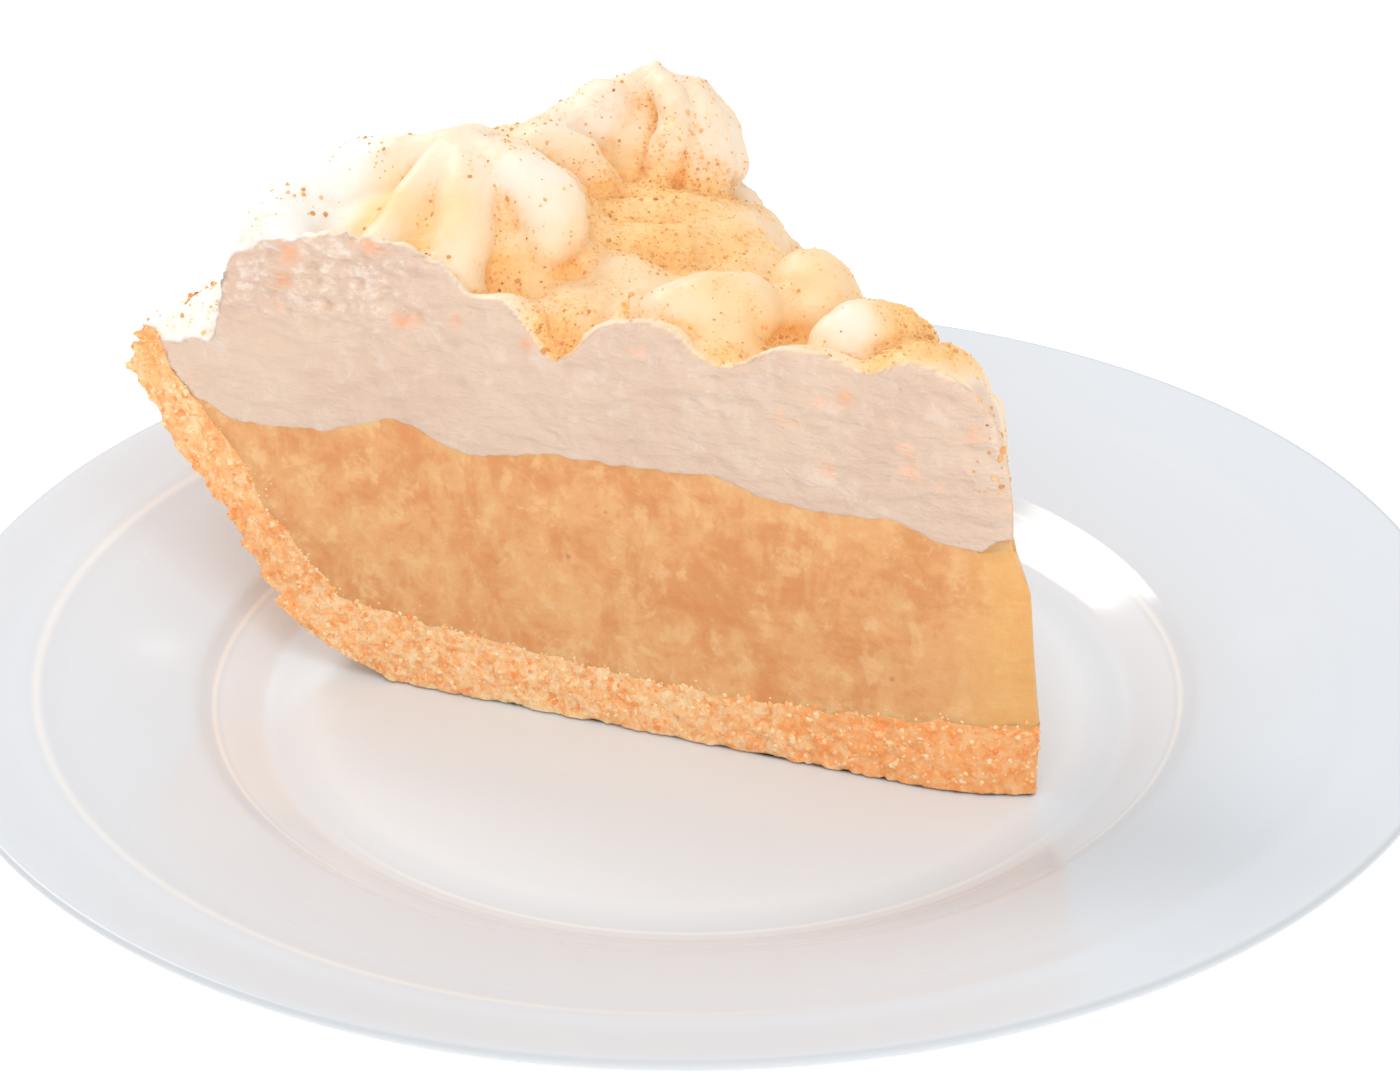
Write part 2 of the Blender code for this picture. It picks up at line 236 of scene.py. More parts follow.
def add_node(tree, kind, settings, inputs):
    """A node of a tree; an input is a plain value, or a socket that is linked to it."""
    made = tree.nodes.new(kind)
    for key, value in settings.items():
        setattr(made, key, value)
    for key, value in inputs.items():
        if isinstance(value, bpy.types.NodeSocket):
            tree.links.new(value, made.inputs[key])
        else:
            made.inputs[key].default_value = value
    return made


# ======== shader expressions

class Value:
    """A shader socket that takes part in sums."""

    def __init__(self, sheet, socket):
        self.sheet = sheet
        self.socket = socket

    def sum(self, operation, *others):
        return self.sheet.node("ShaderNodeMath", {"operation": operation}, dict(enumerate((self, *others))))

    def __add__(self, other):
        return self.sum("ADD", other)

    def __sub__(self, other):
        return self.sum("SUBTRACT", other)

    def __rsub__(self, other):
        return self.sheet.node("ShaderNodeMath", {"operation": "SUBTRACT"}, {0: other, 1: self})

    def __mul__(self, other):
        return self.sum("MULTIPLY", other)

    __radd__ = __add__
    __rmul__ = __mul__

    def held(self):
        """Kept from 0 to 1."""
        return self.sheet.node("ShaderNodeClamp", {}, {0: self})

    def over(self, low, high):
        """0 at low, 1 at high, smooth between."""
        return self.sheet.node("ShaderNodeMapRange", {"interpolation_type": "SMOOTHSTEP"},
                               {"Value": self, "From Min": low, "From Max": high})


class Sheet:
    """One material under construction."""

    def __init__(self, name):
        self.made = bpy.data.materials.new(name)
        self.made.use_nodes = True
        self.tree = self.made.node_tree
        self.shader = self.tree.nodes["Principled BSDF"]
        self.place = Value(self, self.tree.nodes.new("ShaderNodeTexCoord").outputs["Object"])

    def node(self, kind, settings, inputs, output=0):
        plain = {key: value.socket if isinstance(value, Value) else value for key, value in inputs.items()}
        return Value(self, add_node(self.tree, kind, settings, plain).outputs[output])

    def noise(self, size, detail=3, rough=0.55, place=None, warp=0.0):
        """Noise from 0 to 1 with features of a size in metres."""
        return self.node("ShaderNodeTexNoise", {}, {
            "Vector": place or self.place, "Scale": 1.0 / size, "Detail": detail, "Roughness": rough,
            "Distortion": warp})

    def cells(self, size):
        """Distance from the middle of the nearest cell, with cells of a size in metres."""
        return self.node("ShaderNodeTexVoronoi", {}, {"Vector": self.place, "Scale": 1.0 / size})

    def stretched(self, factors, turn=(0.0, 0.0, 0.0)):
        """The place with its axes scaled, so that a noise is drawn out along one of them."""
        return self.node("ShaderNodeMapping", {}, {"Vector": self.place, "Scale": factors, "Rotation": turn})

    def mix(self, part, low, high):
        """A colour between two others."""
        low, high = [(*colour, 1.0) if isinstance(colour, tuple) else colour for colour in (low, high)]
        return self.node("ShaderNodeMix", {"data_type": "RGBA"}, {0: part, 6: low, 7: high}, output=2)

    def marked(self, name):
        """A number that mark() keeps on the piece."""
        return self.node("ShaderNodeAttribute", {"attribute_name": name}, {}, output="Fac")

    def bump(self, height, distance, strength):
        return self.node("ShaderNodeBump", {}, {"Height": height, "Distance": distance, "Strength": strength})

    def finish(self, links, fixed):
        """The material, with linked and with constant inputs of its shader."""
        for key, value in links.items():
            self.tree.links.new(value.socket, self.shader.inputs[key])
        for key, value in fixed.items():
            self.shader.inputs[key].default_value = value
        return self.made


def porcelain_finish():
    s = Sheet("white glazed porcelain")
    drift = s.noise(0.045, detail=2)
    pull = s.noise(0.03, detail=2)
    # distance from the plate's middle, and how far to the left or to either side
    level = s.stretched((1.0, 1.0, 0.0))
    out = s.node("ShaderNodeVectorMath", {"operation": "LENGTH"}, {0: level}, output="Value")
    sides = s.node("ShaderNodeSeparateXYZ", {}, {0: s.place})
    left = (0.0 - sides).over(-0.030, 0.040)
    aside = sides.sum("ABSOLUTE").over(0.030, 0.052)

    def ring(middle, half):
        """1 on a circle about the plate's middle, fading to both sides."""
        return out.over(middle - half, middle) * (1.0 - out.over(middle, middle + half))

    dull_rim = out.over(0.074, 0.086) * 0.2
    rim = s.mix(drift, (0.69, 0.738, 0.79), (0.71, 0.753, 0.80))
    # painted light: the floor of the well is lighter and bluer than the rim, for the slice's light thrown on
    # it
    colour = s.mix(out.over(0.050, 0.062), (0.82, 0.87, 0.91), rim)
    # painted reflection: a whiter patch and bands on the well's wall and edges, where lamps and the slice
    # reflect in the glaze
    painted_reflection = (out.over(0.0560, 0.0600) * (1.0 - out.over(0.0640, 0.0652)) * 0.5 * aside
              + ring(0.0520, 0.0022) * 0.3 + ring(0.0588, 0.0014) * 0.35 * (1.0 - aside)).held()
    colour = s.mix(painted_reflection, colour, (0.86, 0.905, 0.95))
    # painted highlights: thin bright lines at the well's bends and an arc on the left of the rim, where
    # glints of the lamps lie
    painted_highlight_lines = (ring(0.0652, 0.0006) * 0.55 * aside + ring(0.0574, 0.0006) * 0.5 * (1.0 - aside)
             + ring(0.0602, 0.0005) * 0.4 * (1.0 - aside) + ring(0.0872, 0.0010) * 0.4 * left).held()
    colour = s.mix(painted_highlight_lines, colour, (0.97, 0.95, 0.90))
    # painted shade: a grey line at the rim's outer edge, for the shade under the lip
    colour = s.mix(out.over(0.0989, 0.0998) * 0.6, colour, (0.50, 0.50, 0.50))
    relief = s.bump(pull, 0.00025, 0.2)
    return s.finish(
        {"Base Color": colour, "Roughness": 0.10 + 0.05 * drift + dull_rim, "Normal": relief},
        {"Specular IOR Level": 0.38, "Coat Weight": 0.05, "Coat Roughness": 0.06})


def crust_finish():
    s = Sheet("baked crumb crust")
    clump = s.noise(0.0017, detail=5, rough=0.75, warp=0.6)
    blot = s.noise(0.006, detail=4, rough=0.6)
    fine = s.noise(0.0007, detail=4, rough=0.72)
    brown = (s.marked("brown") + blot.over(0.40, 0.62) * 0.5).held()
    toast = s.mix(brown, (1.0, 0.60, 0.28), (1.0, 0.44, 0.15))
    # lighter clumps: paler crumb, with painted light on the lumps; the dark gaps between them are painted
    # shade in the crevices
    light = s.mix(clump.over(0.49, 0.60) * (0.9 - 0.55 * brown), toast, (1.0, 0.76, 0.46))
    painted_gap_shade = (1.0 - clump).over(0.50, 0.62) * fine.over(0.34, 0.56)
    dark = s.mix(painted_gap_shade * 0.9, light, (0.95, 0.31, 0.085))
    relief = s.bump(fine + clump * 1.3, 0.0004, 0.4)
    return s.finish({"Base Color": dark, "Normal": relief},
                    {"Roughness": 0.82, "Sheen Weight": 0.3, "Sheen Roughness": 0.5,
                     "Sheen Tint": (1.0, 0.62, 0.34, 1.0)})


def custard_finish():
    s = Sheet("banana custard")
    cloud = s.noise(0.010, detail=7, rough=0.68, warp=0.5)
    blotch = s.noise(0.0036, detail=5, rough=0.66, warp=0.3)
    speck = s.cells(0.0062)
    streaks = s.noise(0.0045, detail=4, rough=0.6, place=s.stretched((1.2, 1.2, 0.4)))
    base = s.mix(cloud.over(0.38, 0.62), (0.74, 0.315, 0.105), (0.825, 0.42, 0.164))
    base = s.mix(streaks.over(0.50, 0.66) * 0.5, base, (0.84, 0.50, 0.215))
    soft = s.mix(blotch.over(0.50, 0.66) * 0.7, base, (0.875, 0.535, 0.243))
    deep = s.mix((1.0 - blotch).over(0.52, 0.68) * 0.55, soft, (0.73, 0.265, 0.078))
    spots = (1.0 - speck.over(0.03, 0.09)) * s.noise(0.02, detail=1).over(0.45, 0.6)
    # painted highlight: the mark called nose makes the pointed end lighter and yellower, where its rounded
    # end turns toward the light
    tint = s.mix(s.marked("nose") * 0.65, s.mix(spots * 0.7, deep, (0.52, 0.22, 0.11)), (0.88, 0.49, 0.152))
    drag = s.noise(0.004, detail=4, place=s.stretched((0.4, 0.4, 1.3)))
    fine = s.noise(0.0012, detail=3, rough=0.6)
    relief = s.bump(drag + blotch * 0.5 + fine * 0.25, 0.0007, 0.5)
    return s.finish({"Base Color": tint, "Normal": relief, "Roughness": 0.36 + 0.2 * blotch},
                    {"Subsurface Weight": 0.3, "Subsurface Scale": 0.0018,
                     "Subsurface Radius": (1.0, 0.5, 0.25), "Coat Weight": 0.1, "Coat Roughness": 0.25})


def cream_finish():
    s = Sheet("whipped cream")
    cut = s.marked("cut")
    dust = s.marked("dust")
    soft = s.noise(0.012, detail=3)
    # the piped surface and the cut face, which the mark called cut tells apart; the cut face is painted
    # darker and pinker than the top, a painted shade for a face turned from the key light
    top = s.mix(soft, (0.88, 0.86, 0.80), (0.90, 0.885, 0.835))
    face = s.mix(s.noise(0.016, detail=4).over(0.35, 0.65), (0.725, 0.52, 0.398), (0.76, 0.568, 0.434))
    stains = s.noise(0.0058, detail=2, rough=0.6).over(0.64, 0.74) * 0.7
    face = s.mix(stains, face, (0.90, 0.56, 0.38))
    pale = s.noise(0.0042, detail=5, rough=0.7, warp=0.4).over(0.50, 0.68) * 0.5
    face = s.mix(pale, face, (0.825, 0.68, 0.57))
    torn = s.marked("torn")
    # painted light and shade: lighter and darker streaks on the torn part of the cut, for its rough relief
    torn_painted_light_shade = s.noise(0.0019, detail=4, rough=0.65, place=s.stretched((1.0, 1.0, 1.6)))
    face = s.mix(torn_painted_light_shade.over(0.50, 0.66) * torn * 0.75, face, (0.88, 0.75, 0.64))
    face = s.mix((1.0 - torn_painted_light_shade).over(0.54, 0.68) * torn * 0.6, face, (0.70, 0.45, 0.32))
    face = s.mix(s.marked("stain") * 0.75, face, (0.88, 0.40, 0.19))
    clean = s.mix(cut.over(0.15, 0.85), top, face)
    fine = s.noise(0.0009, detail=4, rough=0.7)
    powder = (dust * (0.30 + 1.2 * fine.over(0.38, 0.66))).held()
    # painted shade: the cream turns warm yellow-orange where shade falls, by the warm tint mark
    shade_warmed = s.mix(s.marked("warm_painted_shade"), clean, (0.94, 0.615, 0.27))
    tinted = s.mix(powder * 0.8, shade_warmed, (0.94, 0.50, 0.165))
    grains = s.cells(0.0011)
    brown = (1.0 - grains.over(0.16, 0.30)) * (dust * 1.3 - 0.1).held() * fine.over(0.45, 0.55)
    tinted = s.mix(brown * 0.75, tinted, (0.62, 0.24, 0.07))
    streak = s.noise(0.0022, detail=4, rough=0.6, place=s.stretched((1.0, 1.0, 2.2), (0.0, 0.35, 0.0)))
    pits = s.cells(0.0031)
    drag = (streak * 0.9 + pits.over(0.0, 0.5) * 0.4) * cut
    skin = (s.noise(0.0032, detail=3) * 0.5 + fine * dust * 0.5) * (1.0 - cut)
    relief = s.bump(drag * 1.2 + skin, 0.0008, 0.6)
    return s.finish({"Base Color": tinted, "Normal": relief, "Roughness": 0.5 + 0.25 * powder},
                    {"Subsurface Weight": 0.25, "Subsurface Scale": 0.0014,
                     "Subsurface Radius": (1.0, 0.65, 0.4)})


def crumb_finish(name, pale, brown, dark, dark_from):
    """From pale to brown by each grain's own tone, and dark for the share above dark_from."""
    s = Sheet(name)
    tone = s.marked("tone")
    colour = s.mix(tone.over(0.0, 0.75), pale, brown)
    colour = s.mix(tone.over(dark_from, dark_from + 0.04), colour, dark)
    grit = s.noise(0.0003, detail=2)
    return s.finish({"Base Color": colour, "Normal": s.bump(grit, 0.0001, 0.5)}, {"Roughness": 0.8})


porcelain = porcelain_finish()
baked = crust_finish()
custard = custard_finish()
cream = cream_finish()
crumbs = crumb_finish("golden crumbs", (1.0, 0.75, 0.44), (1.0, 0.50, 0.19), (0.95, 0.34, 0.10), 0.84)
dust = crumb_finish("fine biscuit dust", (1.0, 0.64, 0.26), (0.86, 0.43, 0.14), (0.60, 0.27, 0.08), 0.94)
toasted = crumb_finish(
    "toasted biscuit crumbs", (0.97, 0.58, 0.22), (0.72, 0.33, 0.10), (0.46, 0.19, 0.06), 0.93)


# ======== plate

def lathe(name, section, sides, finish):
    """A turned piece from a section of (radius, height) in millimetres."""
    points, rings = [], []
    for radius, height in section:
        if radius < 1e-6:
            rings.append([len(points)])
            points.append((0.0, 0.0, height * MM))
            continue
        rings.append(list(range(len(points), len(points) + sides)))
        for side in range(sides):
            turn = math.tau * side / sides
            points.append((radius * MM * math.cos(turn), radius * MM * math.sin(turn), height * MM))
    faces = []
    for low, high in zip(rings, rings[1:]):
        for side in range(sides):
            after = (side + 1) % sides
            corners = (low, side), (low, after), (high, after), (high, side)
            faces.append(list(dict.fromkeys(ring[n % len(ring)] for ring, n in corners)))
    return face_outward(mesh_piece(name, np.array(points), faces, finish))


def plate_section():
    """The plate's section with its bends rounded; the floor, rim lip and foot keep their own points."""
    inside = rounded_line(PLATE_PROFILE[2:13], 64)
    lip = rounded_line(PLATE_PROFILE[12:16], 12)
    under = rounded_line(PLATE_PROFILE[15:19], 24)
    foot = rounded_line(PLATE_PROFILE[18:23], 16)
    line = [PLATE_PROFILE[0], PLATE_PROFILE[1]]
    line += [(p[0], max(p[1], 0.0)) for part in (inside, lip[1:], under[1:], foot[1:]) for p in part]
    return line + [PLATE_PROFILE[-1]]


dish = lathe("dessert_plate", plate_section(), PLATE_SIDES, porcelain)
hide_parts("plate")
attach(dish, "root")


# ======== layers of the slice

# steps along the section, rows through the layer and sectors across the slice
CRUST_GRID = (250, 18, 110)
CUSTARD_GRID = (210, 56, 40)
SHARP_EDGE = 55.0

# how far in the pointed end's hollow reaches, how far out the custard does, and the skew of its end
NOSE_REACH = 30.0
CUSTARD_REACH = 33.0 / 36.0
CUSTARD_SKEW = 10.0


def slab(name, steps, rows, sectors, place, finish):
    """A closed block of three grid directions; place gives all its points at once."""
    key = {}
    order = []
    for i in range(steps + 1):
        for j in range(rows + 1):
            for k in range(sectors + 1):
                if i in (0, steps) or j in (0, rows) or k in (0, sectors):
                    key[i, j, k] = len(order)
                    order.append((i / steps, j / rows, k / sectors))
    faces = []

    def skin(a_count, b_count, pick):
        for a in range(a_count):
            for b in range(b_count):
                corners = (a, b), (a + 1, b), (a + 1, b + 1), (a, b + 1)
                faces.append([key[pick(*corner)] for corner in corners])

    for side in (0, sectors):
        skin(steps, rows, lambda a, b, s=side: (a, b, s))
    for side in (0, rows):
        skin(steps, sectors, lambda a, b, s=side: (a, s, b))
    for side in (0, steps):
        skin(rows, sectors, lambda a, b, s=side: (s, a, b))
    parts = np.array(order)
    points = place(parts[:, 0], parts[:, 1], parts[:, 2])
    piece = face_outward(mesh_piece(name, to_plate(points), faces, finish))
    piece.data.set_sharp_from_angle(angle=math.radians(SHARP_EDGE))
    return piece


def flat(radius, across):
    """x and y at a radius; across is 0 at the near cut and 1 at the far cut."""
    turn = np.radians(across * SLICE_ANGLE)
    return radius * np.cos(turn), -radius * np.sin(turn)


def nose(radius, edge, across):
    """How far a layer's pointed end is drawn in between the two cuts."""
    return 0.33 * edge * np.sin(math.pi * across) * (1.0 - smooth((radius - edge) / NOSE_REACH))


def worn(x):
    """How far the near cut is drawn back over the last 20 mm at the rounded pointed end."""
    return 0.014 * np.maximum(20.0 - x, 0.0) ** 2


def seam(radius, across):
    """The ragged line where the custard meets the crust, as a change of height."""
    spots = np.stack([radius, 9.0 * across, 0.0 * radius], axis=1)
    return wobbles(spots, 4.2, 31) * 0.9 + wobbles(spots, 1.7, 32) * 0.6


FAR_NORMAL = (-math.sin(math.radians(SLICE_ANGLE)), -math.cos(math.radians(SLICE_ANGLE)))


def on_the_cuts(points, across, relief):
    """Moves the points of both cuts along their normals and draws back the pointed end."""
    near, far = across < 1e-6, across > 1.0 - 1e-6
    points[:, 1] += near * relief
    points[:, 0] += far * relief * FAR_NORMAL[0]
    points[:, 1] += far * relief * FAR_NORMAL[1]
    points[:, 1] = np.minimum(points[:, 1], FACE_LEVEL - worn(points[:, 0]) + 0.3 * (relief - FACE_LEVEL))
    return points


def crust_place(step, row, across):
    """The crust's points: step along its section, row from the outer to the inner wall."""
    outer = along(CRUST_OUTER, step)
    inner = along(CRUST_INNER, step)
    radius = outer[0] + (inner[0] - outer[0]) * row
    height = outer[1] + (inner[1] + seam(inner[0], across) + 0.3 - outer[1]) * row
    radius = radius - nose(radius, TIP_END, across)
    x, y = flat(radius, across)
    points = np.stack([x, y, height], axis=1)
    lumps = (wobbles(points, 5) * 0.5 + wobbles(points, 2.1, 1) * 0.5
             + np.abs(wobbles(points, 1.5, 2)) * 1.6 - 0.4)
    shown = np.maximum((row < 0.01) * (height > 0.5), step > 0.985)
    wall = rising(radius, 88, 20)
    out_x, out_y = flat(shown * lumps * (0.3 + 0.9 * wall), across)
    points[:, 0] += out_x
    points[:, 1] += out_y
    points[:, 2] += shown * lumps * 0.7
    fade = smooth((1.0 - row) * 9.0 / 1.5)
    crumbly = FACE_LEVEL + fade * np.clip(0.9 * lumps, -0.9, 0.6)
    points = on_the_cuts(points, across, crumbly)
    points[:, 2] = np.maximum(points[:, 2], 0.0)
    return points


def custard_top(radius, depth):
    """Height of the custard's top; depth is how far behind the near cut."""
    near = soft_reading(CUSTARD_TOP_NEAR, radius, 0.8)
    inside = CUSTARD_LEVEL + 0.5 * (near - CUSTARD_LEVEL)
    spots = np.stack([np.ravel(radius), np.ravel(depth), np.zeros(np.size(radius))], axis=1)
    ripple = wobbles(spots, 3.2, 51) * 0.55 + wobbles(spots, 1.5, 52) * 0.3
    return near + (inside - near) * smooth(depth / 25.0) + ripple.reshape(np.shape(radius))


def custard_place(step, row, across):
    """The custard's points: step out from the point, row from the crust to the top."""
    low_r, low_h = along(CRUST_INNER, step * CUSTARD_REACH)
    end = along(CRUST_INNER, CUSTARD_REACH)[0]
    skew = CUSTARD_SKEW * across * (1.0 - smooth(4.0 * step))
    top_r = CUSTARD_TIP + (end - CUSTARD_TIP) * step + skew
    depth = top_r * np.sin(np.radians(across * SLICE_ANGLE))
    top_h = custard_top(top_r, depth)
    upright = (top_r - skew - low_r) * (row - rising(row, 0.76, 0.24)) * (1.0 - smooth(step * 8.0))
    radius = low_r + (top_r - low_r) * row - upright
    low_h = low_h + seam(low_r, across)
    height = low_h + (top_h - low_h) * row
    edge = TIP_END + (CUSTARD_TIP + skew - TIP_END) * row
    radius = radius - nose(radius, edge, across)
    x, y = flat(radius, across)
    points = np.stack([x, y, height], axis=1)
    soft = wobbles(points, 9, 3) * 0.5 + wobbles(points, 3.4, 4) * 0.28 + wobbles(points, 1.6, 6) * 0.14
    fade = smooth(np.minimum(row, 1.0 - row) * 28.0 / 1.8)
    dragged = FACE_LEVEL + fade * np.minimum(0.6 * soft, 0.3)
    return on_the_cuts(points, across, dragged + 0.05)


crust = slab("crumb_crust_shell", *CRUST_GRID, crust_place, baked)
# baked brown at the pointed end, at the foot of the wall and on the rim
tip_way = np.hypot(*to_slice(positions(crust))[:2])
mark(crust, "brown", 0.95 * falling(tip_way, 18, 40)
     + 0.45 * rising(tip_way, 101, 8) * falling(tip_way, 116, 8)
     + 0.55 * rising(tip_way, 122, 5))
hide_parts("crumb_crust")
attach(crust, "root")

filling = slab("custard_filling", *CUSTARD_GRID, custard_place, custard)
tip_way = np.hypot(*to_slice(positions(filling))[:2])
# painted highlight on the rounded pointed end, lighter and yellower
mark(filling, "nose", smooth((17.0 - tip_way) / 9.0))
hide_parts("banana_custard")
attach(filling, "root")


# ======== whipped cream, shaped as one mass of lobes and ropes

# step and corners of the grid that holds the cream, and the small lobes along the rim
GRID = 0.57
LOW = np.array([3.0, -93.0, 31.0])
HIGH = np.array([132.0, 2.0, 76.0])
RUFFLES = 7
RUFFLE_RADIUS = 121.3


class Mass:
    """A block of soft stuff held as distances to its skin on a regular grid."""

    def __init__(self, low, high, step):
        self.low = low
        self.step = step
        self.count = np.ceil((high - low) / step).astype(int) + 1
        self.axes = [low[i] + step * np.arange(self.count[i]) for i in range(3)]
        self.far = np.full(self.count, 50.0, np.float32)

    def window(self, low, high):
        """The part of the grid from low to high, and the places of its points."""
        spans = []
        for i in range(3):
            first = int(np.clip((low[i] - self.low[i]) / self.step, 0, self.count[i] - 1))
            last = int(np.clip((high[i] - self.low[i]) / self.step + 2, first + 1, self.count[i]))
            spans.append(slice(first, last))
        grid = np.meshgrid(*[self.axes[i][spans[i]] for i in range(3)], indexing="ij", sparse=True)
        return tuple(spans), [g.astype(np.float32) for g in grid]

    def add(self, spans, distance, blend):
        """Joins a new lump, with a fillet of the blend's width in the crease."""
        here = self.far[spans]
        fillet = np.maximum(blend - np.abs(here - distance), 0.0) / blend
        self.far[spans] = np.minimum(here, distance) - fillet ** 2 * blend * 0.25

    def rope(self, line, blend):
        """A rope of cream through (x, y, height, radius) points."""
        line = np.array(line, float)
        reach = line[:, 3].max() + blend + 1.5
        spans, (x, y, z) = self.window(line[:, :3].min(0) - reach, line[:, :3].max(0) + reach)
        best = None
        for a, b in zip(line, line[1:]):
            d = b[:3] - a[:3]
            t = ((x - a[0]) * d[0] + (y - a[1]) * d[1] + (z - a[2]) * d[2]) / max(float(d @ d), 1e-6)
            t = np.clip(t, 0.0, 1.0)
            away = (x - a[0] - t * d[0]), (y - a[1] - t * d[1]), (z - a[2] - t * d[2])
            gap = np.sqrt(away[0] ** 2 + away[1] ** 2 + away[2] ** 2) - (a[3] + (b[3] - a[3]) * t)
            best = gap if best is None else np.minimum(best, gap)
        self.add(spans, best, blend)

    def lobe(self, centre, sizes, turn=0.0, blend=1.2):
        """A round lobe; sizes are its half widths along, across and up."""
        reach = max(sizes) + blend + 1.5
        centre = np.array(centre, float)
        spans, (x, y, z) = self.window(centre - reach, centre + reach)
        c, s = math.cos(math.radians(turn)), math.sin(math.radians(turn))
        u = ((x - centre[0]) * c + (y - centre[1]) * s) / sizes[0]
        v = (-(x - centre[0]) * s + (y - centre[1]) * c) / sizes[1]
        w = (z - centre[2]) / sizes[2]
        self.add(spans, (np.sqrt(u * u + v * v + w * w) - 1.0) * min(sizes), blend)

    def keep(self, distance, blend=0.0):
        """Cuts away everything outside a shape."""
        if blend:
            fillet = np.maximum(blend - np.abs(self.far - distance), 0.0) / blend
            self.far = np.maximum(self.far, distance) + fillet ** 2 * blend * 0.25
        else:
            self.far = np.maximum(self.far, distance)

    def skin(self):
        """The skin as points and four-sided faces, one point in each cell that the skin crosses."""
        inside = self.far < 0.0
        cells = self.count - 1
        place = np.zeros((*cells, 3), np.float32)
        hits = np.zeros(cells, np.float32)
        quads = []
        for axis in range(3):
            low, high = np.delete(inside, -1, axis), np.delete(inside, 0, axis)
            at = np.argwhere(low != high)
            a, b = [np.delete(self.far, end, axis)[tuple(at.T)] for end in (-1, 0)]
            spot = at.astype(np.float32)
            spot[:, axis] += a / (a - b)
            one, two = [n for n in range(3) if n != axis]
            corners = []
            for da, db in ((-1, -1), (0, -1), (0, 0), (-1, 0)):
                cell = at.copy()
                cell[:, one] += da
                cell[:, two] += db
                corners.append(cell)
            good = np.all([(cell >= 0) & (cell < cells) for cell in corners], axis=(0, 2))
            for cell in corners:
                np.add.at(place, tuple(cell[good].T), spot[good])
                np.add.at(hits, tuple(cell[good].T), 1.0)
            turn = low[tuple(at.T)] ^ (axis == 1)
            for flip in (False, True):
                ring = [cell[good & (turn == flip)] for cell in corners]
                quads.append(ring if flip else ring[::-1])
        used = np.nonzero(hits)
        number = np.full(cells, -1)
        number[used] = np.arange(len(used[0]))
        points = place[used] / hits[used][:, None] * self.step + self.low
        faces = [np.stack([number[tuple(cell.T)] for cell in ring], axis=1) for ring in quads]
        return points, np.concatenate(faces)

    def hollow(self, points, reach):
        """How deep in a valley each point lies, from the mean distance around it."""
        width = max(int(round(reach / self.step)), 1)
        mean = self.far.copy()
        for axis in range(3):
            before, after = mean.take([0] * (width + 1), axis), mean.take([-1] * width, axis)
            padded = np.concatenate([before, mean, after], axis)
            total = np.cumsum(padded, axis, dtype=np.float64)
            ahead = np.take(total, np.arange(2 * width + 1, total.shape[axis]), axis)
            behind = np.take(total, np.arange(0, total.shape[axis] - 2 * width - 1), axis)
            mean = ((ahead - behind) / (2 * width + 1)).astype(np.float32)
        spot = np.clip(np.rint((points - self.low) / self.step).astype(int), 0, np.array(self.count) - 1)
        return -(mean - self.far)[spot[:, 0], spot[:, 1], spot[:, 2]]


